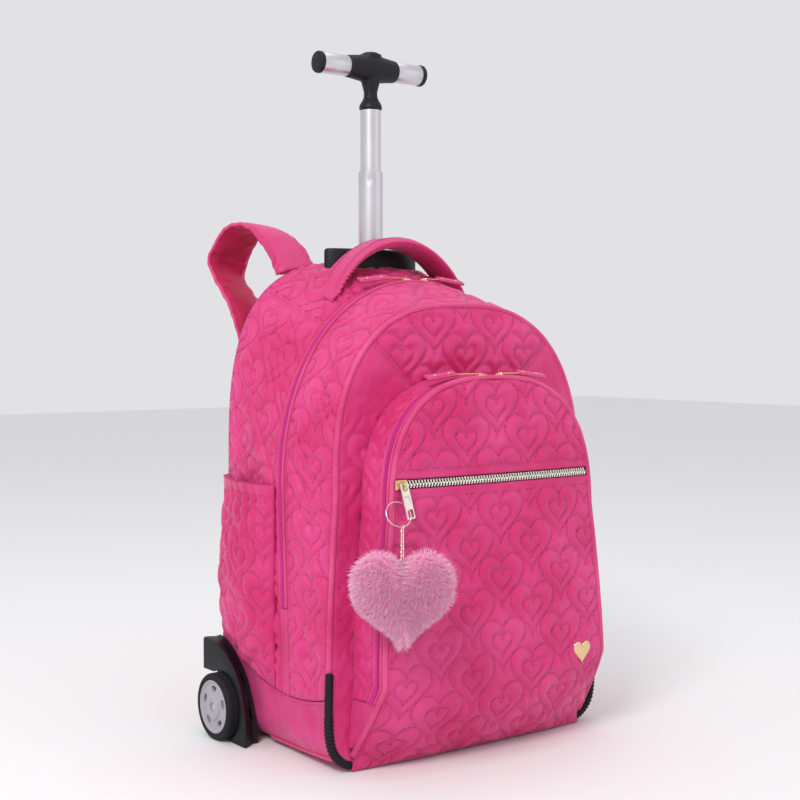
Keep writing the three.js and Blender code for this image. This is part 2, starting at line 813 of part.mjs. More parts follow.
// The last two rows are the hem, a little thicker than the cloth below it.
function pouchGrid(standOff) {
  const hemShare = sidePocketHem / (sidePocketTop - lowerPanelHeight);
  const ups = Array.from({ length: pouchRows }, (_, i) => ((1 - hemShare) * i) / (pouchRows - 1));
  ups.push(1 - hemShare + 0.005, 1);
  return ups.map((up, i) => {
    const row = [];
    const proud = i >= pouchRows ? 1.2 : 0;
    for (let j = 0; j <= pouchColumns; j++) {
      const across = j / pouchColumns;
      const foreZ = pouchTop(0);
      const foreY = bodyDepth(bodySections.zip, foreZ) + tapeEdge + 3;
      const y = mix(pouchRear, foreY, across);
      const z = mix(aboveSeam(y) + 2, pouchTop(y), up);
      row.push([surfaceHalf(y, z) + standOff + proud + pouchBulge(across, up), y, z]);
    }
    return row;
  });
}

const pouchSeat = 2 * seamGap;
const pouch = clothSolid(pouchGrid(pouchSeat), plainWall, 1, 'none');
addPiece('side_pocket_right', pouch, quiltLook);
addPiece('side_pocket_left', mirrored(pouch), quiltLook);

// Padded carry handle: an arch along X over the bag's top, flat at its sewn feet.
const handleSteps = 14;
const handleFlat = 0.9;
const handleFootSink = 3;

function handleUnder(x) {
  const share = Math.min(1, Math.abs(x) / (handleReach * handleFlat));
  return surfaceTop(x, handleDepth) - handleFootSink + (handleLift + handleFootSink) * (1 - share ** 2) ** 0.8;
}

function handleThick(x) {
  const share = Math.abs(x) / handleReach;
  return handleThickness * (1 - 0.6 * share ** 4);
}

// Section of the handle as shares of its width and thickness, round at both edges.
const handleSection = [
  { across: -0.5, up: 0.5 }, { across: -0.42, up: 0.9 }, { across: 0, up: 1 }, { across: 0.42, up: 0.9 },
  { across: 0.5, up: 0.5 }, { across: 0.42, up: 0.1 }, { across: 0, up: 0 }, { across: -0.42, up: 0.1 },
];

function loftClosed(rings) {
  const count = rings[0].length;
  const middle = (ring) => ring.reduce((sum, p) => sum.map((v, k) => v + p[k] / count), [0, 0, 0]);
  const positions = [middle(rings[0]), middle(rings[rings.length - 1]), ...rings.flat()];
  const at = (i, j) => 2 + i * count + (j % count);
  const faces = [];
  for (let j = 0; j < count; j++) {
    faces.push([0, at(0, j + 1), at(0, j)], [1, at(rings.length - 1, j), at(rings.length - 1, j + 1)]);
    for (let i = 0; i < rings.length - 1; i++) {
      faces.push([at(i, j), at(i, j + 1), at(i + 1, j + 1)], [at(i, j), at(i + 1, j + 1), at(i + 1, j)]);
    }
  }
  return facingOut(geometryOf(positions, faces));
}

const handleRings = [];
for (let i = 0; i <= handleSteps; i++) {
  const x = handleReach * (2 * (i / handleSteps) - 1);
  const rise = handleUnder(x);
  handleRings.push(
    handleSection.map(({ across, up }) => [x, handleDepth + across * handleWidth, rise + up * handleThick(x)]),
  );
}
const topRoom = clothSolid(shifted(rearGrid, seamGap, 'y'), handleLift, -1);
addPiece('carry_handle', without(loftClosed(handleRings), topRoom), plainLook);

// Shoulder straps, from the top of the back panel. Each row places the middle of the band:
// back and up are shares of strapReach and strapRise, out of strapWidth, drop of strapDrop;
// turn is how far the inner edge stands below the outer one, as a share of strapWidth.
const strapRoutes = {
  left: [
    { back: 0.03, up: 0.0, out: 0.0, drop: 0, turn: -0.2 },
    { back: 0.17, up: 0.42, out: 0.12, drop: 0, turn: -0.05 },
    { back: 0.36, up: 0.78, out: 0.34, drop: 0, turn: 0.1 },
    { back: 0.6, up: 0.84, out: 0.58, drop: 0, turn: 0.1 },
    { back: 0.8, up: 0.5, out: 0.72, drop: 0, turn: 0.1 },
    { back: 0.9, up: 0.06, out: 0.8, drop: 0, turn: 0.35 },
    { back: 0.68, up: 0, out: 0.86, drop: 0.06, turn: 0.3 },
    { back: 0.38, up: 0, out: 0.84, drop: 0.16, turn: 0.15 },
    { back: 0.22, up: 0, out: 0.76, drop: 0.3, turn: 0 },
    { back: 0.17, up: 0, out: 0.7, drop: 0.62, turn: 0 },
    { back: 0.16, up: 0, out: 0.66, drop: 1, turn: 0 },
  ],
  right: [
    { back: 0.06, up: -0.12, out: 0.0, drop: 0, turn: 0 },
    { back: 0.18, up: -0.06, out: 0.04, drop: 0, turn: 0 },
    { back: 0.27, up: -0.2, out: 0.12, drop: 0.02, turn: 0 },
    { back: 0.27, up: -0.2, out: 0.26, drop: 0.14, turn: 0 },
    { back: 0.2, up: -0.2, out: 0.44, drop: 0.36, turn: 0 },
    { back: 0.17, up: -0.1, out: 0.6, drop: 0.7, turn: 0 },
    { back: 0.16, up: 0, out: 0.66, drop: 1, turn: 0 },
  ],
};
const strapSamples = 15;

function strapGrid(rows, side) {
  const centres = rows.map(
    ({ back, up, out, drop }) =>
      new THREE.Vector3(
        side * (strapRoot + out * strapWidth),
        backPlane + quiltWall + back * strapReach,
        strapTop + up * strapRise - drop * strapDrop,
      ),
  );
  const turns = new THREE.CatmullRomCurve3(rows.map(({ turn }, i) => new THREE.Vector3(i, turn, 0)));
  const path = new THREE.CatmullRomCurve3(centres);
  const grid = [];
  for (let i = 0; i <= strapSamples; i++) {
    const share = i / strapSamples;
    const centre = path.getPoint(share);
    const turn = turns.getPoint(share).y;
    const across = new THREE.Vector3(-side, 0, -turn).normalize().multiplyScalar(strapWidth / 2);
    grid.push([-1, 0, 1].map((edge) => centre.clone().addScaledVector(across, edge).toArray()));
  }
  return grid;
}

const webbingLow = 62;
for (const [name, side] of Object.entries(sides)) {
  const grid = strapGrid(strapRoutes[name], side);
  const strap = solidBetween(shifted(grid, -strapThickness / 2, 'none'), shifted(grid, strapThickness / 2, 'none'));
  const wallRoom = box(bagHalfWidth * 2, 40, bagHeight * 2, 0, backPlane + quiltWall + seamGap - 20, 0);
  addPiece(`shoulder_strap_${name}`, without(strap, wallRoom), plainLook);
  const x = side * (strapRoot + 0.66 * strapWidth);
  const y = backPlane + quiltWall + 0.16 * strapReach;
  const bar = box(webbingWidth + 8, 5, 20, x, y, strapTop - strapDrop - 11);
  const slot = box(webbingWidth + 2, 8, 4, x, y, strapTop - strapDrop - 16);
  const upperSlot = box(webbingWidth + 2, 8, 4, x, y, strapTop - strapDrop - 7);
  addPiece(`strap_buckle_${name}`, without(bar, slot, upperSlot), plasticLook);
  const low = backPlane + quiltWall + 0.6 + webbingThickness / 2;
  const lowSlot = strapTop - strapDrop - 21.4;
  const webbing = [0, 0.3, 0.7, 1].map((share) => [
    [x - webbingWidth / 2, mix(y, low, share ** 2), mix(lowSlot, webbingLow, share)],
    [x + webbingWidth / 2, mix(y, low, share ** 2), mix(lowSlot, webbingLow, share)],
  ]);
  const half = webbingThickness / 2;
  addPiece(
    `strap_webbing_${name}`,
    solidBetween(shifted(webbing, -half, 'none'), shifted(webbing, half, 'none')),
    plainLook,
  );
}

// Pull pole: three tubes that slide in one another, on a foot in the bag, through a collar.
const tubeFootLow = quiltWall + seamGap;
const footOutline = [
  [0, tubeFootLow],
  [footRadius, tubeFootLow],
  [footRadius, tubeFootLow + footFloor - 2],
  [outerTubeRadius + 4, tubeFootLow + footHeight],
  [outerTubeRadius + seamGap, tubeFootLow + footHeight],
  [outerTubeRadius + seamGap, tubeFootLow + footFloor],
  [0, tubeFootLow + footFloor],
];
addPiece('pole_foot', moved(turned(footOutline, tubeSides), 0, poleDepth, 0), plasticLook);
const outerTubeLow = tubeFootLow + footFloor + seamGap;
addPiece('pole_outer_tube', tube(outerTubeRadius, tubeWall, outerTubeLow, outerTubeTop, 0, poleDepth), tubeLook);
addPiece('pole_mid_tube', tube(midTubeRadius, tubeWall, midTubeTop - midTubeLength, midTubeTop, 0, poleDepth), tubeLook);
const innerLow = innerTubeTop - innerTubeLength;
addPiece('pole_inner_tube', tube(innerTubeRadius, tubeWall, innerLow, innerTubeTop, 0, poleDepth), tubeLook);

const collarShape = new THREE.Shape();
collarShape.absellipse(0, 0, collarHalfWidth - 4, collarHalfDepth - 4, 0, 2 * Math.PI, false, 0);
const collarBlank = new THREE.ExtrudeGeometry(collarShape, {
  depth: collarHeight - 4, bevelEnabled: true, bevelSize: 4, bevelThickness: 4, bevelSegments: 2, curveSegments: 11,
});
const collarPlaced = moved(collarBlank, 0, poleDepth, collarTop - collarHeight);
const collarHole = post(outerTubeRadius + seamGap, collarTop - 2 * collarHeight, collarTop + 10, 0, poleDepth);
addPiece('pole_collar', without(collarPlaced, topRoom, collarHole), plasticLook);

// T-grip: a waisted neck and core, two metal sleeves, end caps and a button on top.
const neckFoot = innerTubeTop + seamGap;
const neckOutline = [
  [0, neckFoot],
  [innerTubeRadius + 1.5, neckFoot],
  [innerTubeRadius + 0.5, neckFoot + 5],
  [neckWaist, neckFoot + 12],
  [neckWaist, neckFoot + 20],
  [coreRadius * 0.8, gripHeight - coreRadius * 0.6],
  [coreRadius * 0.8, gripHeight],
  [0, gripHeight],
];
const coreOutline = [
  [0, -coreHalfLength],
  [gripRadius + 0.8, -coreHalfLength],
  [gripRadius + 1.6, -coreHalfLength * 0.75],
  [coreRadius - 0.8, -coreHalfLength * 0.4],
  [coreRadius, 0],
  [coreRadius - 0.8, coreHalfLength * 0.4],
  [gripRadius + 1.6, coreHalfLength * 0.75],
  [gripRadius + 0.8, coreHalfLength],
  [0, coreHalfLength],
];
const buttonTop = gripHeight + coreRadius + buttonProud;
const buttonLow = buttonTop - buttonHeight;
const buttonRoom = post(buttonRadius + 0.4, buttonLow - buttonTravel - 0.8, buttonTop + 5, 0, poleDepth, gripSides);
const neck = moved(turned(neckOutline, gripSides), 0, poleDepth, 0);
const core = moved(turnedAcross(coreOutline, gripSides, 1), 0, poleDepth, gripHeight);
const boss = post(buttonRadius + 3, gripHeight, gripHeight + coreRadius + 0.4, 0, poleDepth, gripSides);
addPiece('grip_core', without(joined(neck, core, boss), buttonRoom), plasticLook);
const buttonOutline = [
  [0, buttonLow],
  [buttonRadius, buttonLow],
  [buttonRadius, buttonTop - 2],
  [buttonRadius * 0.75, buttonTop - 0.5],
  [buttonRadius * 0.3, buttonTop],
  [0, buttonTop],
];
addPiece('grip_button', moved(turned(buttonOutline, gripSides), 0, poleDepth, 0), plasticLook);
for (const [name, side] of Object.entries(sides)) {
  const start = coreHalfLength + seamGap;
  const end = gripHalfLength - gripCapLength - seamGap;
  const sleeve = [[0, start], [gripRadius, start], [gripRadius, end], [0, end]];
  addPiece(`grip_sleeve_${name}`, moved(turnedAcross(sleeve, gripSides, side), 0, poleDepth, gripHeight), tubeLook);
  const capStart = gripHalfLength - gripCapLength;
  const cap = [
    [0, capStart],
    [gripRadius + 0.6, capStart],
    [gripRadius + 0.6, gripHalfLength - 1.5],
    [gripRadius - 1.5, gripHalfLength],
    [0, gripHalfLength],
  ];
  addPiece(`grip_cap_${name}`, moved(turnedAcross(cap, gripSides, side), 0, poleDepth, gripHeight), plasticLook);
}

// Wheels in their corner housings. Each outline point is a radius and a distance along the
// axle, outwards from the wheel's middle.
const wheelHalf = wheelWidth / 2;
const wheelSides = 20;
const tyreOutline = [
  [hubRadius + seamGap, -wheelHalf],
  [wheelRadius - 2.5, -wheelHalf],
  [wheelRadius, -wheelHalf + 3],
  [wheelRadius, wheelHalf - 3],
  [wheelRadius - 2.5, wheelHalf],
  [hubRadius + seamGap, wheelHalf],
  [hubRadius + seamGap, -wheelHalf],
];
const hubOutline = [
  [axleRadius + axleClearance, -wheelHalf],
  [axleRadius + 5, -wheelHalf],
  [axleRadius + 5, wheelHalf - 1 - hubWeb],
  [hubRadius - 3, wheelHalf - 1 - hubWeb],
  [hubRadius - 3, -wheelHalf],
  [hubRadius, -wheelHalf],
  [hubRadius, wheelHalf],
  [hubRadius - 3, wheelHalf - 1],
  [axleRadius + 8, wheelHalf - 0.5],
  [axleRadius + 7, wheelHalf + 1],
  [axleRadius + axleClearance, wheelHalf + 1],
  [axleRadius + axleClearance, -wheelHalf],
];

// The housing's outline: a quarter of a rounded arch from the rear top to the front foot.
function housingOutline(reach, height, power) {
  const outline = [{ y: housingBack, z: housingFoot }];
  const steps = 8;
  for (let i = 0; i <= steps; i++) {
    const angle = ((Math.PI / 2) * i) / steps;
    outline.push({
      y: housingBack - reach * Math.sin(angle) ** (2 / power),
      z: Math.max(housingFoot, height * Math.cos(angle) ** (2 / power)),
    });
  }
  return outline;
}

const housingSections = [
  { x: housingSeat, reach: housingReach, height: housingHeight, power: 1.8 },
  { x: mix(housingSeat, housingFace, 0.25), reach: housingReach - 1, height: housingHeight - 1, power: 1.85 },
  { x: mix(housingSeat, housingFace, 0.9), reach: housingReach + housingFlare, height: housingHeight, power: 2.3 },
  { x: housingFace, reach: housingReach + housingFlare - 2, height: housingHeight - 2, power: 2.3 },
];

for (const [name, side] of Object.entries(sides)) {
  const place = (geometry) => moved(geometry, side * wheelOffset, wheelDepth, wheelRadius);
  const tyre = turnedAcross(tyreOutline, wheelSides, side);
  addPiece(`tyre_${name}`, place(tyre), rubberLook);
  const holes = [];
  for (let i = 0; i < hubHoles; i++) {
    const hole = new THREE.CylinderGeometry(4.6, 4.6, 14, 6).scale(0.62, 1, 1).rotateX(Math.PI / 2);
    hole.translate(0, 17, 0).rotateZ(((2 * Math.PI) / hubHoles) * i);
    holes.push(moved(hole, 0, 0, wheelHalf).rotateY((Math.PI / 2) * side));
  }
  addPiece(`hub_${name}`, place(without(turnedAcross(hubOutline, wheelSides, side), ...holes)), hubLook);

  const rings = housingSections.map(({ x, reach, height, power }) =>
    housingOutline(reach, height, power).map(({ y, z }) => [side * x, y, z]),
  );
  const wellRadius = wheelRadius + wellClearance;
  const wellDepth = housingFace - housingSeat;
  const wellStart = wheelOffset - wheelHalf - 1.4;
  const well = new THREE.CylinderGeometry(wellRadius, wellRadius, 2 * wellDepth, wheelSides).rotateZ(Math.PI / 2);
  const wellMiddle = wellStart + wellDepth;
  const rearWell = box(2 * wellDepth, 60, wellRadius * 2, side * wellMiddle, wheelDepth + 30, wheelRadius - 4);
  const wellPlaced = moved(well, side * wellMiddle, wheelDepth, wheelRadius);
  const axleEnd = wheelOffset + wheelHalf - 1;
  const axle = [[0, housingSeat + 1], [axleRadius, housingSeat + 1], [axleRadius, axleEnd], [0, axleEnd]];
  const axlePlaced = moved(turnedAcross(axle, 12, side), 0, wheelDepth, wheelRadius);
  const housing = joined(without(loftClosed(rings), wellPlaced, rearWell), axlePlaced);
  addPiece(`wheel_housing_${name}`, housing, plasticLook);
}

// Small metal trim: the pocket's slider and puller, the split ring, the chain, the fur heart.
const sliderFront = faceFront(sliderX, sliderLength, metalZipHeight) - metalZipProud - seamGap;
const slider = joined(
  box(sliderLength, 2.6, sliderHeight, sliderX, sliderFront - 1.3, metalZipHeight),
  box(2, stapleReach, 1.4, sliderX, sliderFront - 2 - stapleReach / 2, metalZipHeight + 3.3),
  box(2, stapleReach, 1.4, sliderX, sliderFront - 2 - stapleReach / 2, metalZipHeight - 3.6),
  box(2, 1.2, 8.3, sliderX, sliderFront - 2 - stapleReach, metalZipHeight - 0.15),
);
addPiece('metal_zip_slider', slider, goldLook);

const eyeDrop = pullerLength - 5.2;
const pullerPlate = without(
  box(pullerWidth, 1.1, pullerLength, 0, 0, -pullerLength / 2),
  box(4.6, 4, 5.4, 0, 0, -4.8),
  box(6, 4, 7.4, 0, 0, -eyeDrop),
);
const puller = addPiece('metal_zip_puller', pullerPlate, silverLook);
puller.position.set(sliderX, sliderFront - 5.2, metalZipHeight + 2.2);
puller.rotation.set(-pullerSwing, -pullerLean, 0);

const pullerEye = new THREE.Vector3(0, 0, -eyeDrop).applyEuler(puller.rotation).add(puller.position);
const ringFlat = mergeVertices(bare(new THREE.TorusGeometry(ringRadius, ringWire, 5, 20)), 1e-4);
const ring = addPiece('key_ring', ringFlat.rotateX(Math.PI / 2 - ringTilt).rotateZ(-ringTurn), silverLook);
ring.position.set(
  pullerEye.x - ringRadius * Math.cos(ringTurn),
  pullerEye.y + ringRadius * Math.sin(ringTurn),
  pullerEye.z,
);

const furCentre = new THREE.Vector3(furPlace.x, furPlace.y, furPlace.z);
const eyeRadius = 2.6;
const eyeWire = 0.6;
const furNotch = furHeight * furNotchShare;
const chainTop = ring.position.clone();
chainTop.y -= ringRadius * Math.sin(ringTilt);
chainTop.z -= ringRadius * Math.cos(ringTilt);
const chainFoot = furCentre.clone();
chainFoot.z += furNotch + furLock + 2 * eyeRadius;
const chainRun = chainFoot.clone().sub(chainTop);
const ringSlack = ringWire + seamGap;
const eyeSlack = eyeWire - 0.3;
const linkOverlap = 0.3;
const linkPitch = (chainRun.length() + ringSlack + eyeSlack + linkOverlap) / linkCount;
const linkInside = linkPitch - linkOverlap;

function chainLink(turn) {
  const bend = linkWidth / 2 - linkWire;
  const stretch = linkInside / 2 + linkWire - bend;
  const link = mergeVertices(bare(new THREE.TorusGeometry(bend, linkWire, 5, 10)), 1e-4);
  const position = link.attributes.position;
  for (let i = 0; i < position.count; i++) {
    const y = position.getY(i);
    if (Math.abs(y) > 0.3) position.setY(i, y + Math.sign(y) * stretch);
  }
  return link.rotateX(Math.PI / 2).rotateZ(turn);
}

const chainTurn = new THREE.Quaternion().setFromUnitVectors(new THREE.Vector3(0, 0, -1), chainRun.clone().normalize());
const links = [];
for (let i = 0; i < linkCount; i++) {
  const along = linkInside / 2 - ringSlack + i * linkPitch;
  const centre = chainTop.clone().addScaledVector(chainRun.clone().normalize(), along);
  const link = chainLink(i % 2 === 0 ? Math.PI / 2 : 0).applyQuaternion(chainTurn);
  links.push(moved(link, ...centre.toArray()));
}

// Heart outline as x and z, one unit wide and one unit high, with its bounding box centred.
function heartPoint(angle) {
  const x = 16 * Math.sin(angle) ** 3;
  const z = 13 * Math.cos(angle) - 5 * Math.cos(2 * angle) - 2 * Math.cos(3 * angle) - Math.cos(4 * angle);
  return { x: x / 32, z: (z + 2.55) / 28.9 };
}

// Fur heart: a puffed heart whose skin stands out in short pointed locks.
const furAround = 26;
const furRings = 5;
function furPoint(around, level) {
  const { x, z } = heartPoint((2 * Math.PI * around) / furAround);
  const angle = ((Math.PI / 2) * level) / (furRings + 0.5);
  const lock = (around + level) % 2 === 0 ? furLock : 0;
  const spread = Math.cos(angle);
  const length = Math.hypot(x * furWidth, z * furHeight);
  const reach = (length - furLock + lock * spread) / length;
  const depth = (furThickness / 2 - furLock + lock) * Math.sin(angle);
  return [x * furWidth * spread * reach, -depth, z * furHeight * spread * reach];
}

const furLevels = [];
for (let level = -furRings; level <= furRings; level++) {
  furLevels.push(Array.from({ length: furAround }, (_, around) => furPoint(around, level)));
}
const fur = loftClosed(furLevels).rotateZ(-furTurn);
addPiece('fur_heart', moved(fur, furCentre.x, furCentre.y, furCentre.z), furLook);
const furEye = joined(
  moved(bare(new THREE.TorusGeometry(eyeRadius, eyeWire, 5, 10)).rotateX(Math.PI / 2), 0, 0, eyeRadius),
  post(eyeWire + 0.3, -eyeRadius * 2, 0.2, 0, 0, 6),
);
const eyeTop = moved(furEye, furCentre.x, furCentre.y, chainFoot.z - 2 * eyeRadius);
const furRoom = moved(fur.clone().scale(1.015, 1.015, 1.015), furCentre.x, furCentre.y, furCentre.z);
addPiece('key_chain', joined(...links, without(eyeTop, furRoom)), silverLook);

// Plain metal heart badge low on the pocket face.
const badgeShape = new THREE.Shape();
for (let i = 0; i < 24; i++) {
  const { x, z } = heartPoint((2 * Math.PI * i) / 24);
  if (i === 0) badgeShape.moveTo(x * badgeWidth, z * badgeWidth);
  else badgeShape.lineTo(x * badgeWidth, z * badgeWidth);
}
const badgeBlank = new THREE.ExtrudeGeometry(badgeShape, { depth: badgeThickness, bevelEnabled: false });
const badgeSeat = faceFront(badgePlace.x, badgeWidth, badgePlace.z);
addPiece('heart_badge', moved(badgeBlank.rotateX(Math.PI / 2), badgePlace.x, badgeSeat - seamGap, badgePlace.z), goldLook);

// Coil zipper sliders with wire loops, and the stiff fabric tabs on them.
function zipTrim(prefix, y, topAt, rows) {
  for (const { name, slider: at, side, tab } of rows) {
    const seat = topAt(at) + seamGap;
    const loopStart = at + side * 3;
    const loopEnd = side * (tab + 3);
    const loopZ = seat + 3.2;
    const loop = bare(new THREE.TorusGeometry(coilLoopRadius, coilLoopWire, 5, 12));
    const position = loop.attributes.position;
    const half = Math.abs(loopEnd - loopStart) / 2 - coilLoopRadius;
    for (let i = 0; i < position.count; i++) {
      const x = position.getX(i);
      if (Math.abs(x) > 0.2) position.setX(i, x + Math.sign(x) * half);
    }
    const body = box(coilSliderLength, coilSliderWidth, 2.6, at, y, seat + 1.3);
    const bridge = box(2.2, 3, 2.2, at + side * 1.2, y, seat + 3.4);
    const wire = moved(mergeVertices(loop, 1e-4), (loopStart + loopEnd) / 2, y, loopZ);
    addPiece(`${prefix}_slider_${name}`, joined(body, bridge, wire), goldLook);
    const strip = without(
      box(tabLength, tabWidth, tabThickness, (side * tabLength) / 2, 0, 0),
      box(8.4, 7.8, 2.4, side * 1.6, 0, 0),
    );
    const fabricTab = addPiece(`${prefix}_tab_${name}`, strip, plainLook);
    fabricTab.position.set(side * tab, y, loopZ);
    fabricTab.rotation.set(0, side * tabSlope, 0);
  }
}

const mainZipY = bodyDepth(bodySections.zip, bagHeight * bodySections.zip.crown);
zipTrim('main_zip', mainZipY, (x) => surfaceTop(Math.max(0, Math.abs(x) - 5), mainZipY), [
  { name: 'left', slider: -9, side: -1, tab: 32 },
  { name: 'right', slider: 11, side: 1, tab: 30 },
]);
const pocketZipY = (zipFront(pocketHeight) + zipRear(pocketHeight)) / 2;
zipTrim('pocket_zip', pocketZipY, () => pocketHeight, [
  { name: 'left', slider: -7, side: -1, tab: 37 },
  { name: 'right', slider: 14, side: 1, tab: 39 },
]);

export default group;
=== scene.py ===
# The finished wheeled backpack: quilted pink cloth, coil zips, piping, an aluminium pull pole,
# black plastic fittings, wheels and a fur heart. Lengths are in millimetres until a mesh is made.
import math

import bmesh
import bpy
import numpy as np
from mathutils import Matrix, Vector


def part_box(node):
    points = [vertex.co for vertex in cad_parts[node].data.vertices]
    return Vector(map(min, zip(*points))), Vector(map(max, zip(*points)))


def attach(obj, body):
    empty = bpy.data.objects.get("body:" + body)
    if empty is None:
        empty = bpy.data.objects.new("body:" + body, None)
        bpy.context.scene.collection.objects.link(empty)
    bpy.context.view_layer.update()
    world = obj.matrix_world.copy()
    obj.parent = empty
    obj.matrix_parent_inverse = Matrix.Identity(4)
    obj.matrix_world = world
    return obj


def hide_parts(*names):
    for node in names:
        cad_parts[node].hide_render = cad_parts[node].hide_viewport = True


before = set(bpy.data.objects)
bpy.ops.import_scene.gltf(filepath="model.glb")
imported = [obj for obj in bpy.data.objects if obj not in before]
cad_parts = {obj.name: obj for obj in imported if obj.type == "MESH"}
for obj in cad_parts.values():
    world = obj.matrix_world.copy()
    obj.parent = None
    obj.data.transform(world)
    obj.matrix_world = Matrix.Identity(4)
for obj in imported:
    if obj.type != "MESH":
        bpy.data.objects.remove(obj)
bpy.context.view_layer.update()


# Camera, floor and light: a 63 mm lens at a child's chest height, off the bag's left front, a
# pale floor that runs out of sight, and large soft lamps round it.
camera_data = bpy.data.cameras.new("camera")
camera_data.lens = 63
camera_data.sensor_width = 36
camera = bpy.data.objects.new("camera", camera_data)
camera.location = (-0.847, -1.118, 0.390)
camera.rotation_euler = (math.radians(90 - 2.45), 0, math.radians(-36.5))
bpy.context.scene.collection.objects.link(camera)
bpy.context.scene.camera = camera
bpy.context.scene.view_settings.view_transform = "Standard"

floor_mesh = bpy.data.meshes.new("floor")
floor_reach = 6.0
floor_corners = [(-floor_reach, -floor_reach, 0), (floor_reach, -floor_reach, 0),
                 (floor_reach, floor_reach, 0), (-floor_reach, floor_reach, 0)]
floor_mesh.from_pydata(floor_corners, [], [(0, 1, 2, 3)])
floor = bpy.data.objects.new("floor", floor_mesh)
bpy.context.scene.collection.objects.link(floor)
floor_paint = bpy.data.materials.new("pale_floor")
floor_paint.use_nodes = True
floor_paint.node_tree.nodes["Principled BSDF"].inputs["Base Color"].default_value = (0.86, 0.86, 0.86, 1)
floor_paint.node_tree.nodes["Principled BSDF"].inputs["Roughness"].default_value = 0.8
floor_mesh.materials.append(floor_paint)

world = bpy.data.worlds.new("studio")
world.use_nodes = True
world.node_tree.nodes["Background"].inputs["Color"].default_value = (0.95, 0.95, 0.97, 1)
world.node_tree.nodes["Background"].inputs["Strength"].default_value = 0.8
bpy.context.scene.world = world

lamps = [
    {"name": "key", "place": (-1.7, -1.0, 1.9), "side": 0.8, "power": 30},
    {"name": "fill", "place": (1.3, -1.7, 1.0), "side": 1.6, "power": 3},
    {"name": "top", "place": (0.1, 0.2, 2.3), "side": 1.2, "power": 5},
]
for lamp in lamps:
    light = bpy.data.lights.new(lamp["name"], "AREA")
    light.size = lamp["side"]
    light.energy = lamp["power"]
    holder = bpy.data.objects.new(lamp["name"], light)
    holder.location = lamp["place"]
    aim = Vector((0, 0, 0.25)) - Vector(lamp["place"])
    holder.rotation_euler = aim.to_track_quat("-Z", "Y").to_euler()
    bpy.context.scene.collection.objects.link(holder)


# The bag's outline, as its maker would draft it: an arch seen from the front, at the back seam,
# at the main zip and at the front seam. Depths, widths and heights are shares of the bag's own.
MM = 0.001


def node_box(name):
    low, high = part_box(name)
    return np.array(low) / MM, np.array(high) / MM


bag_half, bag_back, bag_height = node_box("rear_gusset")[1]
quilt_wall = 3.0
bag_front = node_box("base_tray")[0][1] - quilt_wall
bag_depth = bag_back - bag_front
bag_corner = 33.0
zip_tape = 13.0
piping_seat = 3.0
lower_panel_height = 58.0
lower_panel_rise = 41.0
lower_panel_low_point = 0.333
arches = {
    "back": {"depth_foot": 1.0, "depth_crown": 1.0, "foot": 0.994, "waist": 0.944,
             "spring": 0.56, "crown": 1.0, "power": 3.0},
    "zip": {"depth_foot": 0.359, "depth_crown": 0.461, "foot": 1.0, "waist": 1.0,
            "spring": 0.532, "crown": 0.953, "power": 2.05},
    "front": {"depth_foot": 0.0, "depth_crown": 0.067, "foot": 1.0, "waist": 0.919,
              "spring": 0.532, "crown": 0.9, "power": 2.6},
}


def arch_between(first, second, share):
    value = {key: first[key] + (second[key] - first[key]) * share for key in first}
    return {"foot": bag_half * value["foot"], "waist": bag_half * value["waist"],
            "spring": bag_height * value["spring"], "crown": bag_height * value["crown"],
            "power": value["power"], "corner": bag_corner, "base": 0.0}


def inset_arch(arch, by):
    return {**arch, "foot": arch["foot"] - by, "waist": arch["waist"] - by, "crown": arch["crown"] - by,
            "corner": arch["corner"] - by, "base": arch["base"] + by}


def depth_at(row, z):
    share = row["depth_foot"] + (row["depth_crown"] - row["depth_foot"]) * z / (bag_height * row["crown"])
    return bag_front + bag_depth * share


def half_at(arch, z):
    z = np.asarray(z, float)
    shoulder = arch["base"] + arch["corner"]
    drop = np.clip(shoulder - z, 0, arch["corner"])
    low = arch["foot"] - arch["corner"] + np.sqrt(arch["corner"] ** 2 - drop ** 2)
    share = np.clip((z - shoulder) / (arch["spring"] - shoulder), 0, 1)
    side = arch["foot"] + (arch["waist"] - arch["foot"]) * share ** 1.6
    rise = np.clip((z - arch["spring"]) / (arch["crown"] - arch["spring"]), 0, 1)
    top = arch["waist"] * (1 - rise ** arch["power"]) ** (1 / arch["power"])
    return np.where(z < shoulder, low, np.where(z < arch["spring"], side, top))


def lower_seam(y):
    low_point = bag_front + bag_depth * lower_panel_low_point
    return lower_panel_height + lower_panel_rise * ((y - low_point) / (bag_back - low_point)) ** 2


def distances(points):
    """How far along its line each point lies."""
    return np.concatenate([[0], np.cumsum(np.linalg.norm(np.diff(points, axis=0), axis=1))])


def even(points, count):
    """The same line through points, divided into count evenly spaced ones."""
    points = np.asarray(points, float)
    run = distances(points)
    places = np.linspace(0, run[-1], count)
    return np.stack([np.interp(places, run, points[:, k]) for k in range(points.shape[1])], axis=1)


def run_length(points):
    return float(distances(np.asarray(points))[-1])


def arch_line(arch, low):
    """x and z from the left foot over the crown to the right foot."""
    z_side = np.linspace(low, arch["spring"], 60)[:-1]
    angle = np.linspace(0, math.pi / 2, 260)
    x = np.concatenate([half_at(arch, z_side), arch["waist"] * np.cos(angle) ** (2 / arch["power"])])
    z_top = arch["spring"] + (arch["crown"] - arch["spring"]) * np.sin(angle) ** (2 / arch["power"])
    z = np.concatenate([z_side, z_top])
    left = np.stack([-x, z], axis=1)
    return np.concatenate([left, left[-2::-1] * [-1, 1]])


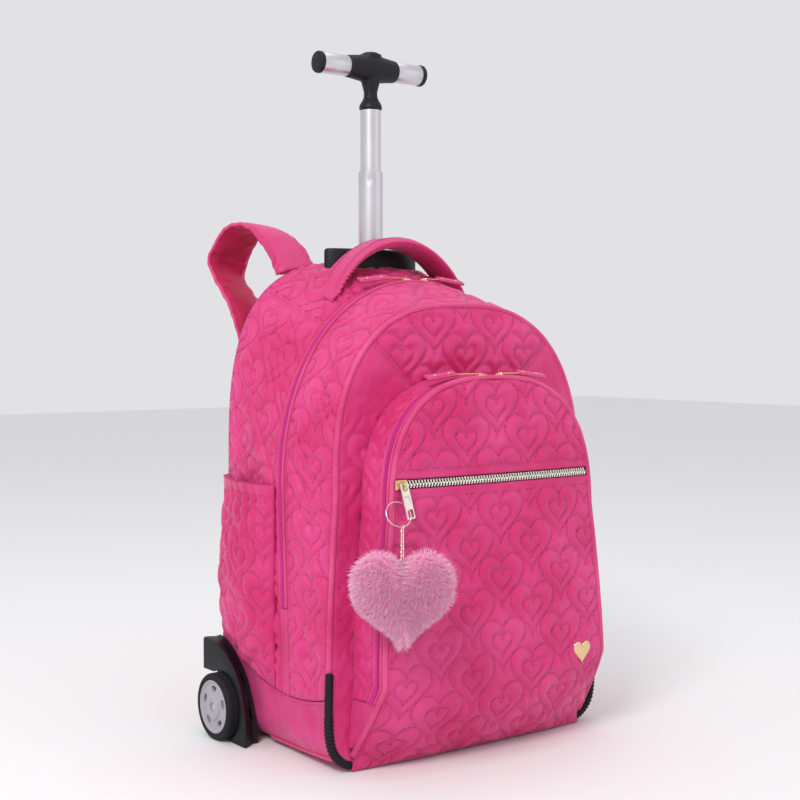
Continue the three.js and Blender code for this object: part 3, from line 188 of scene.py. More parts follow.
def arch_band(first, first_shift, second, second_shift, rows, columns, low_at):
    """A grid over the arch between two sections; the shifts move its edges in depth."""
    grid = np.empty((rows, columns, 3))
    for i in range(rows):
        share = i / (rows - 1)
        arch = arch_between(first, second, share)

        def depth(z):
            start = depth_at(first, z) + first_shift
            return start + (depth_at(second, z) + second_shift - start) * share

        line = arch_line(arch, low_at(depth(lower_panel_height)))
        line = even(line, columns)
        grid[i] = np.stack([line[:, 0], depth(line[:, 1]), line[:, 1]], axis=1)
    return grid


# Cloth finishes. A group draws the threads of a twill, another the soft clouding of dyed cloth.
# Each cloth takes its colour from them; some are also darkened by painted shade in the quilting grooves, at
# seams and in the hollows of folds.
def node_group(name, inputs, outputs, kind="ShaderNodeTree"):
    tree = bpy.data.node_groups.new(name, kind)
    for label, kind, value in inputs:
        socket = tree.interface.new_socket(label, in_out="INPUT", socket_type=kind)
        if value is not None:
            socket.default_value = value
    for label, kind in outputs:
        tree.interface.new_socket(label, in_out="OUTPUT", socket_type=kind)
    return tree, tree.nodes.new("NodeGroupInput"), tree.nodes.new("NodeGroupOutput")


def maths(tree, operation, first, second=None, clamp=False):
    node = tree.nodes.new("ShaderNodeMath")
    node.operation = operation
    node.use_clamp = clamp
    for socket, value in zip(node.inputs, (first, second)):
        if value is None:
            continue
        if isinstance(value, (int, float)):
            socket.default_value = value
        else:
            tree.links.new(value, socket)
    return node.outputs[0]


twill, twill_in, twill_out = node_group(
    "twill_threads",
    [("Place", "NodeSocketVector", None), ("Pitch", "NodeSocketFloat", 1.1)],
    [("Height", "NodeSocketFloat"), ("Shade", "NodeSocketFloat")],
)
twill_split = twill.nodes.new("ShaderNodeSeparateXYZ")
twill.links.new(twill_in.outputs["Place"], twill_split.inputs[0])
twill_turns = maths(twill, "DIVIDE", 2 * math.pi, twill_in.outputs["Pitch"])
twill_rib = maths(twill, "ADD", twill_split.outputs[0], twill_split.outputs[1])
twill_rib = maths(twill, "SINE", maths(twill, "MULTIPLY", twill_rib, twill_turns))
twill_thread = maths(twill, "SUBTRACT", twill_split.outputs[0], twill_split.outputs[1])
twill_thread = maths(twill, "ADD", twill_thread, twill_split.outputs[2])
twill_thread = maths(twill, "MULTIPLY", maths(twill, "MULTIPLY", twill_thread, twill_turns), 2.0)
twill_thread = maths(twill, "SINE", twill_thread)
twill_height = maths(twill, "ADD", maths(twill, "MULTIPLY", twill_rib, 0.36), 0.5)
twill_height = maths(twill, "ADD", twill_height, maths(twill, "MULTIPLY", twill_thread, 0.14))
twill.links.new(twill_height, twill_out.inputs["Height"])
twill.links.new(twill_height, twill_out.inputs["Shade"])

clouds, clouds_in, clouds_out = node_group(
    "dyed_clouds",
    [("Place", "NodeSocketVector", None), ("Scale", "NodeSocketFloat", 14.0),
     ("Light", "NodeSocketColor", (1, 1, 1, 1)), ("Dark", "NodeSocketColor", (0, 0, 0, 1))],
    [("Color", "NodeSocketColor"), ("Mask", "NodeSocketFloat")],
)
clouds_noise = clouds.nodes.new("ShaderNodeTexNoise")
clouds_noise.inputs["Detail"].default_value = 5
clouds_noise.inputs["Roughness"].default_value = 0.6
clouds.links.new(clouds_in.outputs["Place"], clouds_noise.inputs["Vector"])
clouds.links.new(clouds_in.outputs["Scale"], clouds_noise.inputs["Scale"])
clouds_mask = maths(clouds, "MULTIPLY", maths(clouds, "SUBTRACT", clouds_noise.outputs[0], 0.36), 3.4, True)
clouds_mix = clouds.nodes.new("ShaderNodeMix")
clouds_mix.data_type = "RGBA"
clouds.links.new(clouds_mask, clouds_mix.inputs["Factor"])
clouds.links.new(clouds_in.outputs["Dark"], clouds_mix.inputs["A"])
clouds.links.new(clouds_in.outputs["Light"], clouds_mix.inputs["B"])
clouds.links.new(clouds_mix.outputs["Result"], clouds_out.inputs["Color"])
clouds.links.new(clouds_mask, clouds_out.inputs["Mask"])


def linear(red, green, blue):
    """An sRGB colour from 0 to 255 as a linear one."""
    shares = [value / 255 for value in (red, green, blue)]
    return tuple(((v + 0.055) / 1.055) ** 2.4 if v > 10 / 255 else v / 12.92 for v in shares) + (1,)


def cloth(name, light, dark, rough=0.62, pitch=1.0, bump=0.12, sheen=0.25, painted_groove_shade=True):
    """A woven cloth. When its flag is set, the piece's own 'channel' attribute darkens it: painted shade in
    the quilting grooves, at seams and in fold hollows.
    """
    paint = bpy.data.materials.new(name)
    paint.use_nodes = True
    tree = paint.node_tree
    shader = tree.nodes["Principled BSDF"]
    place = tree.nodes.new("ShaderNodeUVMap")
    place.uv_map = "cloth"
    threads = tree.nodes.new("ShaderNodeGroup")
    threads.node_tree = twill
    threads.inputs["Pitch"].default_value = pitch
    tree.links.new(place.outputs[0], threads.inputs["Place"])
    spot = tree.nodes.new("ShaderNodeTexCoord")
    tint = tree.nodes.new("ShaderNodeGroup")
    tint.node_tree = clouds
    tint.inputs["Light"].default_value = light
    tint.inputs["Dark"].default_value = dark
    tree.links.new(spot.outputs["Object"], tint.inputs["Place"])
    shade = tree.nodes.new("ShaderNodeMix")
    shade.data_type = "RGBA"
    shade.blend_type = "MULTIPLY"
    shade.inputs["Factor"].default_value = 0.22
    tree.links.new(tint.outputs["Color"], shade.inputs["A"])
    tree.links.new(threads.outputs["Shade"], shade.inputs["B"])
    colour = shade.outputs["Result"]
    # Painted shade: the colour is mixed towards a deeper pink where the attribute is high.
    if painted_groove_shade:
        channel = tree.nodes.new("ShaderNodeAttribute")
        channel.attribute_name = "channel"
        groove_shade_mix = tree.nodes.new("ShaderNodeMix")
        groove_shade_mix.data_type = "RGBA"
        groove_shade_mix.inputs["B"].default_value = tuple(v * 0.55 for v in dark[:3]) + (1,)
        tree.links.new(maths(tree, "MULTIPLY", channel.outputs["Fac"], 0.2), groove_shade_mix.inputs["Factor"])
        tree.links.new(colour, groove_shade_mix.inputs["A"])
        colour = groove_shade_mix.outputs["Result"]
    tree.links.new(colour, shader.inputs["Base Color"])
    roughness = maths(tree, "ADD", maths(tree, "MULTIPLY", tint.outputs["Mask"], -0.08), rough)
    tree.links.new(roughness, shader.inputs["Roughness"])
    relief = tree.nodes.new("ShaderNodeBump")
    relief.inputs["Strength"].default_value = 0.6
    relief.inputs["Distance"].default_value = bump * MM
    tree.links.new(threads.outputs["Height"], relief.inputs["Height"])
    tree.links.new(relief.outputs["Normal"], shader.inputs["Normal"])
    shader.inputs["Sheen Weight"].default_value = sheen
    shader.inputs["Sheen Roughness"].default_value = 0.45
    shader.inputs["Sheen Tint"].default_value = (1.0, 0.55, 0.75, 1)
    shader.inputs["Specular IOR Level"].default_value = 0.35
    return paint


quilt_cloth = cloth("quilted_twill", linear(230, 66, 138), linear(214, 34, 110), 0.44, 0.85, 0.12)
plain_cloth = cloth("plain_twill", linear(226, 70, 138), linear(206, 42, 112), 0.6, 1.25, 0.16,
                    painted_groove_shade=False)
lining_cloth = cloth("strap_lining", linear(206, 26, 88), linear(176, 12, 66), 0.7, 0.9, 0.1)
zip_cloth = cloth("zip_tape", linear(224, 54, 154), linear(204, 32, 134), 0.6, 0.8, 0.12, painted_groove_shade=False)
strap_face = cloth("strap_face", linear(232, 84, 146), linear(218, 58, 124), 0.5, 0.7, 0.08, painted_groove_shade=False)
webbing_cloth = cloth("webbing", linear(206, 34, 104), linear(180, 16, 80), 0.6, 1.6, 0.2, painted_groove_shade=False)
piping_cloth = cloth("piping_cover", linear(232, 82, 142), linear(214, 50, 116), 0.55, 0.8, 0.1,
                     painted_groove_shade=False)
thread_paint = cloth("sewing_thread", linear(198, 30, 98), linear(180, 18, 84), 0.5, 0.5, 0.05,
                     painted_groove_shade=False)


# Pieces are made from grids of points. A sewn panel has a fine outer side and a coarser inner
# one, closed along its turned edges.
def solid_mesh(name, points, faces, paints, uv=None, attributes=None, slots=None, smooth=True):
    mesh = bpy.data.meshes.new(name)
    points = np.asarray(points, float) * MM
    mesh.from_pydata(points.tolist(), [], [list(map(int, face)) for face in faces])
    mesh.update()
    for paint in paints if isinstance(paints, (list, tuple)) else [paints]:
        mesh.materials.append(paint)
    if uv is not None:
        layer = mesh.uv_layers.new(name="cloth")
        corners = np.empty(len(mesh.loops), int)
        mesh.loops.foreach_get("vertex_index", corners)
        layer.data.foreach_set("uv", np.asarray(uv, float)[corners].ravel())
    for label, values in (attributes or {}).items():
        mesh.attributes.new(label, "FLOAT", "POINT").data.foreach_set("value", np.asarray(values, float))
    if slots is not None:
        mesh.polygons.foreach_set("material_index", np.asarray(slots, int))
    mesh.polygons.foreach_set("use_smooth", [smooth] * len(mesh.polygons))
    shell = bmesh.new()
    shell.from_mesh(mesh)
    if shell.calc_volume(signed=True) < 0:
        bmesh.ops.reverse_faces(shell, faces=shell.faces)
        shell.to_mesh(mesh)
    shell.free()
    made = bpy.data.objects.new(name, mesh)
    bpy.context.scene.collection.objects.link(made)
    return made


def grid_normals(grid):
    along = np.gradient(grid, axis=0)
    across = np.gradient(grid, axis=1)
    normal = np.cross(along, across)
    length = np.linalg.norm(normal, axis=2, keepdims=True)
    return normal / np.maximum(length, 1e-9)


def quads(rows, columns, start=0):
    index = np.arange(rows * columns).reshape(rows, columns) + start
    return np.stack([index[:-1, :-1], index[:-1, 1:], index[1:, 1:], index[1:, :-1]], axis=-1).reshape(-1, 4)


def border(rows, columns, step=1):
    """Indexes round a grid's edge, in order, every step points."""
    index = np.arange(rows * columns).reshape(rows, columns)
    loop = [index[0, :-1:step], index[:-1:step, -1], index[-1, :0:-step], index[:0:-step, 0]]
    return np.concatenate(loop)


def sewn_panel(name, outer, inner, paint, uv, channel, coarse=4, lining=None):
    """A closed wall: the fine outer grid, and every few points of the inner one."""
    rows, columns = outer.shape[:2]
    back = inner[::coarse, ::coarse]
    points = np.concatenate([outer.reshape(-1, 3), back.reshape(-1, 3)])
    faces = [list(face) for face in quads(rows, columns)]
    start = rows * columns
    faces += [list(face[::-1]) for face in quads(*back.shape[:2], start)]
    fine = border(rows, columns)
    rough = border(*back.shape[:2]) + start
    for k, corner in enumerate(rough):
        after = rough[(k + 1) % len(rough)]
        run = [fine[(k * coarse + step) % len(fine)] for step in range(coarse + 1)]
        middle = coarse // 2
        for step in range(coarse):
            tip = corner if step < middle else after
            faces.append([run[step + 1], run[step], tip])
        faces.append([run[middle], corner, after])
    uv = np.concatenate([uv.reshape(-1, 2), uv[::coarse, ::coarse].reshape(-1, 2)])
    channel = np.concatenate([channel.ravel(), np.zeros(back.shape[0] * back.shape[1])])
    paints = paint if lining is None else [paint, lining]
    fine_count = (rows - 1) * (columns - 1)
    lined = None if lining is None else [0] * fine_count + [1] * (len(faces) - fine_count)
    return solid_mesh(name, points, faces, paints, uv, {"channel": channel}, lined)


def add_piece(piece, body="root"):
    """Makes a piece move with the body given."""
    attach(piece, body)


def dress(piece, nodes, body="root"):
    """piece is what these CAD nodes look like, and moves with their body."""
    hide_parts(*([nodes] if isinstance(nodes, str) else nodes))
    add_piece(piece, body)
    return piece


def divisions(length, pitch, coarse=4):
    return max(1, round(length / pitch / coarse)) * coarse + 1


def soft_noise(x, y, size, seed):
    """Smooth random hills from -1 to 1, size apart."""
    table = np.random.default_rng(seed).uniform(-1, 1, (64, 64))
    u, v = np.asarray(x) / size + 1000, np.asarray(y) / size + 1000
    i, j = np.floor(u).astype(int), np.floor(v).astype(int)
    s, t = u - i, v - j
    s, t = s * s * (3 - 2 * s), t * t * (3 - 2 * t)
    low = table[i % 64, j % 64] * (1 - s) + table[(i + 1) % 64, j % 64] * s
    high = table[i % 64, (j + 1) % 64] * (1 - s) + table[(i + 1) % 64, (j + 1) % 64] * s
    return low * (1 - t) + high * t


# The quilting: a heart within a heart, sewn in staggered rows through cloth and foam. The foam
# stands up between the stitched lines, so height follows the distance to the nearest line.
heart_pitch = (74.0, 60.0)
heart_sizes = [(55.0, 49.0), (25.0, 22.0)]
quilt_loft = 3.2
channel_width = 3.6
pucker_reach = 5.5


def full_turn(count):
    return np.linspace(0, 2 * math.pi, count, endpoint=False)


def heart_shape(turn):
    """Across and up, on the outline of a heart one wide and one high."""
    up = 13 * np.cos(turn) - 5 * np.cos(2 * turn) - 2 * np.cos(3 * turn) - np.cos(4 * turn)
    return 16 * np.sin(turn) ** 3 / 32, (up + 2.55) / 28.9


def heart_line(width, height, count):
    x, y = heart_shape(full_turn(count))
    line = np.stack([x * width, y * height], axis=1)
    return even(np.concatenate([line, line[:1]]), count + 1)[:-1]


tile_steps = 0.5
tile_x = np.arange(0, heart_pitch[0], tile_steps)
tile_y = np.arange(0, heart_pitch[1], tile_steps)
tile_points = np.stack(np.meshgrid(tile_x, tile_y, indexing="ij"), axis=-1).reshape(-1, 2)
tile_distance = np.full(len(tile_points), 1e3)
for heart_width, heart_height in heart_sizes:
    line = heart_line(heart_width, heart_height, 90)
    for i in range(-1, 4):
        for j in range(-1 - (i + 1) % 2, 4, 2):
            middle = np.array([i * heart_pitch[0], j * heart_pitch[1]]) / 2
            gap = np.linalg.norm(tile_points[:, None] - (line + middle)[None], axis=2).min(axis=1)
            tile_distance = np.minimum(tile_distance, gap)
tile_distance = tile_distance.reshape(len(tile_x), len(tile_y))


def line_distance(u, v):
    """Distance from a place on the cloth to its nearest quilting stitch line."""
    a = (np.asarray(u) % heart_pitch[0]) / tile_steps
    b = (np.asarray(v) % heart_pitch[1]) / tile_steps
    i, j = np.floor(a).astype(int), np.floor(b).astype(int)
    s, t = a - i, b - j
    rows, columns = tile_distance.shape

    def pick(p, q):
        return tile_distance[p % rows, q % columns]

    low = pick(i, j) * (1 - s) + pick(i + 1, j) * s
    high = pick(i, j + 1) * (1 - s) + pick(i + 1, j + 1) * s
    return low * (1 - t) + high * t


def quilted(grid, u, v, edge, keep=None, creases=None, face=1):
    """The puffed outer side and the channel shade of a quilted panel. edge is the distance to its
    nearest seam, keep is 1 where the cloth is quilted and 0 where it is plain."""
    gap = line_distance(u, v)
    loft = 1 - np.exp(-(gap / channel_width) ** 1.25)
    shade = np.exp(-(gap / 1.5) ** 2)
    if keep is not None:
        loft = loft * keep + 0.35 * (1 - keep)
        shade = shade * keep
    rim = 1 - np.exp(-np.maximum(edge, 0) / 3.5)
    height = quilt_loft * loft * rim
    height = height + rim * (0.8 * soft_noise(u, v, 34, 4) + 0.35 * soft_noise(u, v, 10, 9))
    height = height + rim * 0.5 * soft_noise(u, v, 4.2, 10) * np.exp(-gap / pucker_reach)
    if creases is not None:
        height = height + creases * rim
    outer = grid + grid_normals(grid) * (face * height)[..., None]
    seam_shade = 0.9 * np.exp(-np.maximum(edge, 0) / 1.6)
    return outer, np.clip(np.maximum(shade, seam_shade), 0, 1)


# Sewing stitches: short spindles of thread, set out by a node tree on points that know which
# way the seam runs and which way the cloth faces.
def copies_tree(name, inputs):
    """A node tree that sets out copies of its Element and gives them its Finish."""
    inputs = inputs + [("Element", "NodeSocketObject", None), ("Finish", "NodeSocketMaterial", None)]
    tree, given, out = node_group(name, inputs, [("Result", "NodeSocketGeometry")], "GeometryNodeTree")
    element = tree.nodes.new("GeometryNodeObjectInfo")
    tree.links.new(given.outputs["Element"], element.inputs["Object"])
    place = tree.nodes.new("GeometryNodeInstanceOnPoints")
    tree.links.new(element.outputs["Geometry"], place.inputs["Instance"])
    real = tree.nodes.new("GeometryNodeRealizeInstances")
    tree.links.new(place.outputs["Instances"], real.inputs["Geometry"])
    finish = tree.nodes.new("GeometryNodeSetMaterial")
    tree.links.new(real.outputs["Geometry"], finish.inputs["Geometry"])
    tree.links.new(given.outputs["Finish"], finish.inputs["Material"])
    tree.links.new(finish.outputs["Geometry"], out.inputs["Result"])
    return tree, given, place


def set_out_tree():
    tree, given, place = copies_tree("set_out_along_a_seam", [("Points", "NodeSocketGeometry", None),
                                                              ("Size", "NodeSocketFloat", None)])
    turns = []
    for label, axis, pivot in (("along", "X", "AUTO"), ("facing", "Z", "X")):
        read = tree.nodes.new("GeometryNodeInputNamedAttribute")
        read.data_type = "FLOAT_VECTOR"
        read.inputs["Name"].default_value = label
        turn = tree.nodes.new("FunctionNodeAlignRotationToVector")
        turn.axis = axis
        turn.pivot_axis = pivot
        tree.links.new(read.outputs["Attribute"], turn.inputs["Vector"])
        if turns:
            tree.links.new(turns[-1].outputs["Rotation"], turn.inputs["Rotation"])
        turns.append(turn)
    tree.links.new(given.outputs["Points"], place.inputs["Points"])
    tree.links.new(turns[-1].outputs["Rotation"], place.inputs["Rotation"])
    tree.links.new(given.outputs["Size"], place.inputs["Scale"])
    return tree


seam_tree = set_out_tree()


def set_modifier_inputs(modifier, values):
    for item in modifier.node_group.interface.items_tree:
        if item.item_type == "SOCKET" and item.in_out == "INPUT" and item.name in values:
            modifier[item.identifier] = values[item.name]


def grown(holder, name):
    """The evaluated mesh of an object with a node tree, as a plain object."""
    graph = bpy.context.evaluated_depsgraph_get()
    mesh = bpy.data.meshes.new_from_object(holder.evaluated_get(graph))
    holder.modifiers.clear()
    bpy.data.objects.remove(holder)
    mesh.name = name
    made = bpy.data.objects.new(name, mesh)
    bpy.context.scene.collection.objects.link(made)
    return made


def set_out(name, element, points, along, facing, paint, size=1.0):
    mesh = bpy.data.meshes.new(name + "_points")
    mesh.from_pydata((np.asarray(points) * MM).tolist(), [], [])
    for label, values in (("along", along), ("facing", facing)):
        store = mesh.attributes.new(label, "FLOAT_VECTOR", "POINT")
        store.data.foreach_set("vector", np.asarray(values, float).ravel())
    holder = bpy.data.objects.new(name + "_points", mesh)
    bpy.context.scene.collection.objects.link(holder)
    modifier = holder.modifiers.new("set out", "NODES")
    modifier.node_group = seam_tree
    set_modifier_inputs(modifier, {"Element": element, "Size": size, "Finish": paint})
    return grown(holder, name)


def grid_spots(grid, rows, columns):
    """Places between a grid's points, by fractional row and column."""
    rows = np.clip(rows, 0, grid.shape[0] - 1.001)
    columns = np.clip(columns, 0, grid.shape[1] - 1.001)
    i, j = rows.astype(int), columns.astype(int)
    s, t = (rows - i)[..., None], (columns - j)[..., None]
    near = grid[i, j] * (1 - t) + grid[i, j + 1] * t
    far = grid[i + 1, j] * (1 - t) + grid[i + 1, j + 1] * t
    return near * (1 - s) + far * s


stitch_pitch = 4.2
seam_runs = {"points": [], "along": [], "facing": []}
quilt_runs = {"points": [], "along": [], "facing": []}


def stitch_points(line, facing, pitch, store):
    """Adds stitches along a line of points; facing is the cloth's normal at each point."""
    count = max(2, round(run_length(line) / pitch))
    both = even(np.concatenate([line, facing], axis=1), count + 1)
    place = (both[1:, :3] + both[:-1, :3]) / 2
    along = both[1:, :3] - both[:-1, :3]
    store["points"].append(place)
    store["along"].append(along)
    store["facing"].append((both[1:, 3:] + both[:-1, 3:]) / 2)


def seam_along(outer, rows, columns, face=1, pitch=stitch_pitch, store=seam_runs):
    """A stitched line over a panel, by fractional rows and columns."""
    line = grid_spots(outer, rows, columns)
    facing = grid_spots(grid_normals(outer), rows, columns) * face
    stitch_points(line + facing * 0.15, facing, pitch, store)


def quilt_stitches(outer, spot, inside, face, u_range, v_range):
    """Stitches on the quilting lines; spot gives row and column, and inside says where to sew."""
    normals = grid_normals(outer)
    for i in range(int(u_range[0] // heart_pitch[0]) * 2 - 1, int(u_range[1] // heart_pitch[0]) * 2 + 4):
        for j in range(int(v_range[0] // heart_pitch[1]) * 2 - 1, int(v_range[1] // heart_pitch[1]) * 2 + 4):
            if (i + j) % 2:
                continue
            middle = np.array([i * heart_pitch[0] / 2, j * heart_pitch[1] / 2])
            for heart_width, heart_height in heart_sizes:
                count = round(2.9 * (heart_width + heart_height) / 2 / stitch_pitch)
                line = heart_line(heart_width, heart_height, count) + middle
                keep = inside(line[:, 0], line[:, 1])
                if not keep.any():
                    continue
                step = (np.roll(line, -1, axis=0) - np.roll(line, 1, axis=0))[keep] / 4
                line = line[keep]
                rows, columns = spot(line[:, 0], line[:, 1])
                facing = grid_spots(normals, rows, columns) * face
                ahead = grid_spots(outer, *spot(*(line + step).T))
                behind = grid_spots(outer, *spot(*(line - step).T))
                quilt_runs["points"].append((ahead + behind) / 2 + facing * 0.1)
                quilt_runs["along"].append(ahead - behind)
                quilt_runs["facing"].append(facing)


# Gussets: the quilted cloth that wraps the bag over its arch, behind and in front of the main
# zip. The rear one is pieced from two sides and a top, joined by double-stitched seams.
cloth_pitch = 1.7
seam_room = 0.6
hem_gap = 3.0
top_puff = 4.5


def above_seam(y):
    return lower_seam(y) + seam_room


def gusset(name, first, first_shift, second, second_shift, top_half):
    """The wall between two sections of the bag. top_half is half the length of its pieced top."""
    probe = arch_band(first, first_shift, second, second_shift, 3, 401, above_seam)
    width = np.linalg.norm(probe[0] - probe[2], axis=1).mean()
    length = (run_length(probe[0]) + run_length(probe[2])) / 2
    rows, columns = divisions(width, cloth_pitch), divisions(length, cloth_pitch)
    grid = arch_band(first, first_shift, second, second_shift, rows, columns, above_seam)
    across, along = np.meshgrid(np.linspace(0, width, rows), np.linspace(0, length, columns), indexing="ij")
    from_foot = np.minimum(along, length - along)
    on_top = from_foot > length / 2 - top_half
    u = np.where(on_top, along - length / 2, across)
    v = np.where(on_top, across, from_foot)
    edge = np.minimum(np.minimum(across, width - across), from_foot)
    if top_half:
        edge = np.minimum(edge, np.abs(from_foot - (length / 2 - top_half)))
    folds = sagging_folds(across, from_foot)
    if top_half:
        fade = np.clip((from_foot - (length / 2 - top_half)) / 50, 0, 1)
        folds = folds + top_puff * np.sin(math.pi * across / width) ** 0.7 * fade * fade * (3 - 2 * fade)
    outer, channel = quilted(grid, u, v, edge, creases=folds)
    inner = grid - grid_normals(grid) * quilt_wall
    panel = sewn_panel(name + "_cloth", outer, inner, quilt_cloth, np.stack([u, v], axis=-1), channel)

    def inside_side(a, b):
        return (a > 4) & (a < width - 4) & (b > 5) & (b < length / 2 - top_half - 4)

    def inside_top(a, b):
        return (np.abs(a) < top_half - 5) & (b > 4) & (b < width - 4)

    def down_left(a, b):
        return a / width * (rows - 1), b / length * (columns - 1)

    def down_right(a, b):
        return a / width * (rows - 1), (1 - b / length) * (columns - 1)

    def over_top(a, b):
        return b / width * (rows - 1), (a / length + 0.5) * (columns - 1)

    quilt_stitches(outer, down_left, inside_side, 1, (0, width), (0, length / 2))
    quilt_stitches(outer, down_right, inside_side, 1, (0, width), (0, length / 2))
    if top_half:
        quilt_stitches(outer, over_top, inside_top, 1, (-top_half, top_half), (0, width))
        for side in (-1, 1):
            for offset in (3.2, 7.0):
                column = (0.5 + side * (top_half - offset) / length) * (columns - 1)
                seam_along(outer, np.linspace(1, rows - 2, 40), np.full(40, column))
    for share in (hem_gap / width, 1 - hem_gap / width):
        seam_along(outer, np.full(600, share * (rows - 1)), np.linspace(2, columns - 3, 600))
    dress(panel, name)


def sagging_folds(across, from_foot):
    """Slanting drag folds, deepest low on the sides, with sharper pulls halfway up."""
    low = np.exp(-((from_foot - 60) / 90) ** 2)
    slant = soft_noise(across * 1.6 + from_foot * 0.9, from_foot * 0.35, 22, 21)
    pull = soft_noise(across + from_foot * 0.8, (from_foot - across) * 0.12, 24, 23)
    pulls = np.exp(-(pull / 0.16) ** 2) * np.exp(-((from_foot - 210) / 110) ** 2)
    return 2.6 * low * slant + 1.2 * slant * np.exp(-((from_foot - 330) / 90) ** 2) - 3.2 * pulls


zip_edge = zip_tape / 2
seam_gap = 0.3
rear_top_half = 118.0
gusset("rear_gusset", arches["back"], 0, arches["zip"], zip_edge + seam_gap, rear_top_half)
gusset("front_gusset", arches["zip"], -zip_edge - seam_gap, arches["front"], piping_seat, 0)


# Lower panel: plain twill that runs under the bag and up its sides to a curved, turned seam,
# slack enough to fold a little between the corner guards and the wheel housings.
tray_pitch = 2.4
tray_rows = divisions(bag_depth, tray_pitch)


def tray_line(arch, high):
    shoulder = arch["base"] + arch["corner"]
    z = np.linspace(high, shoulder, 40)[:-1]
    turn = np.linspace(0, math.pi / 2, 60)
    x_turn = arch["foot"] - arch["corner"] * (1 - np.cos(turn))
    left = np.stack([np.concatenate([-half_at(arch, z), -x_turn]),
                     np.concatenate([z, shoulder - arch["corner"] * np.sin(turn)])], axis=1)
    line = np.concatenate([left, left[::-1] * [-1, 1]])
    return line


tray_middle = tray_line(arch_between(arches["back"], arches["front"], 0.5), lower_panel_height)
tray_columns = divisions(run_length(tray_middle), tray_pitch)
tray_grid = np.empty((tray_rows, tray_columns, 3))
for i in range(tray_rows):
    share = i / (tray_rows - 1)
    y = bag_back + (bag_front + piping_seat - bag_back) * share
    arch = arch_between(arches["back"], arches["front"], share)
    line = even(tray_line(arch, lower_seam(y) - 0.3), tray_columns)
    tray_grid[i] = np.stack([line[:, 0], np.full(tray_columns, y), line[:, 1]], axis=1)
tray_depth, tray_run = np.meshgrid(np.linspace(0, bag_depth, tray_rows), np.arange(tray_columns) * tray_pitch,
                                   indexing="ij")
tray_side = np.clip(tray_grid[..., 2] / 25, 0, 1)
tray_edge = np.minimum(tray_run, tray_run[:, ::-1])
tray_folds = soft_noise(tray_depth + 0.35 * tray_grid[..., 2], tray_grid[..., 2] * 0.25, 17, 31)
tray_folds = tray_side * (3.0 * tray_folds + 0.9 * soft_noise(tray_depth, tray_grid[..., 2], 9, 33))
tray_rim = 1 - np.exp(-np.minimum(tray_edge, np.minimum(tray_depth, bag_depth - tray_depth)) / 6)
tray_height = (tray_folds * tray_rim + 0.8 * np.exp(-((tray_edge - 4) / 3) ** 2)) * tray_side
tray_outer = tray_grid - grid_normals(tray_grid) * tray_height[..., None]
tray_inner = tray_grid + grid_normals(tray_grid) * quilt_wall
# Painted shade: darker at the turned edges and in the hollows of the folds.
tray_channel = np.clip(0.8 * np.exp(-tray_edge / 1.2) + 0.3 * np.clip(-tray_folds, 0, 1), 0, 1)
lower_cloth = sewn_panel("base_tray_cloth", tray_outer, tray_inner, plain_cloth,
                         np.stack([tray_depth, tray_run], axis=-1), tray_channel)
dress(lower_cloth, "base_tray")
foot_seams = []
for column in (hem_gap / tray_pitch, tray_columns - 1 - hem_gap / tray_pitch):
    seam_along(tray_outer, np.linspace(1, tray_rows - 2, 200), np.full(200, column), face=-1)


# A thin piping along the foot of the lower panel, from the wheel housings to the guards.
for side in (-1, 1):
    foot_y = np.linspace(bag_back - 76, bag_front + 5, 90)
    foot_z = 7.0 + 5.0 * np.linspace(0, 1, 90) ** 2
    foot_share = (bag_back - foot_y) / bag_depth
    foot_half = [float(half_at(arch_between(arches["back"], arches["front"], share), z))
                 for share, z in zip(foot_share, foot_z)]
    foot_seams.append(np.stack([side * (np.array(foot_half) + 0.9), foot_y, foot_z - 0.6], axis=1))


# Back panel: foam under plain twill, sewn down the middle and across into broad pads.
back_plane_outer = node_box("back_panel")[1][1]
back_arch = arch_between(arches["back"], arches["back"], 0)
back_rows, back_columns = divisions(bag_height, 3.2), divisions(2 * bag_half, 3.2)
back_z = np.linspace(2.2, bag_height - 1.2, back_rows)
back_half = half_at(back_arch, back_z) - 0.4
back_share = np.linspace(1, -1, back_columns)
back_grid = np.empty((back_rows, back_columns, 3))
back_grid[..., 0] = back_half[:, None] * back_share[None]
back_grid[..., 1] = back_plane_outer - 0.8
back_grid[..., 2] = back_z[:, None]
back_edge = np.minimum(back_half[:, None] * (1 - np.abs(back_share))[None],
                       np.minimum(back_z - back_z[0], back_z[-1] - back_z)[:, None])
back_lines = np.minimum(np.abs(np.abs(back_grid[..., 0]) - 34), np.abs(back_grid[..., 2] - 210))
back_lines = np.where(back_grid[..., 2] > 60, back_lines, 30)
back_pad = 2.6 * (1 - np.exp(-back_lines / 7)) * (1 - np.exp(-back_edge / 6)) - 1.2
back_outer = back_grid.copy()
back_outer[..., 1] += back_pad
back_inner = back_grid.copy()
back_inner[..., 1] -= 2.2
# Painted shade: darker in the sewn lines between the pads and along the panel's edges.
back_channel = np.clip(np.exp(-(back_lines / 1.6) ** 2) + 0.8 * np.exp(-back_edge / 2), 0, 1)
back_pads = sewn_panel("back_panel_cloth", back_outer, back_inner, quilt_cloth,
                       back_grid[..., [0, 2]], back_channel)
dress(back_pads, "back_panel")


# Front panel: quilted above the pocket, plain twill at its sides beyond two slanting seams.
front_arch = inset_arch(arch_between(arches["front"], arches["front"], 0), 1.8)
front_seam_low = (62.0, 348.0)
front_seam_high = (107.0, 390.0)
pocket_height = 355.0
panel_bulge = 4.0


def panel_heights(arch, low, high, side_pitch, arch_pitch):
    """Heights of a panel's rows, spaced along its edge, closer together over the arch."""
    line = arch_line(arch, low)
    line = line[:len(line) // 2 + 1]
    run = distances(line)
    start = np.interp(arch["spring"], line[:, 1], run)
    stop = np.interp(high, line[:, 1], run)
    places = list(np.arange(0, start, side_pitch)) + list(np.arange(start, stop, arch_pitch)) + [stop]
    spare = (len(places) - 1) % 4
    places = places[spare:] if spare else places
    places[0] = 0.0
    return np.interp(places, run, line[:, 1])


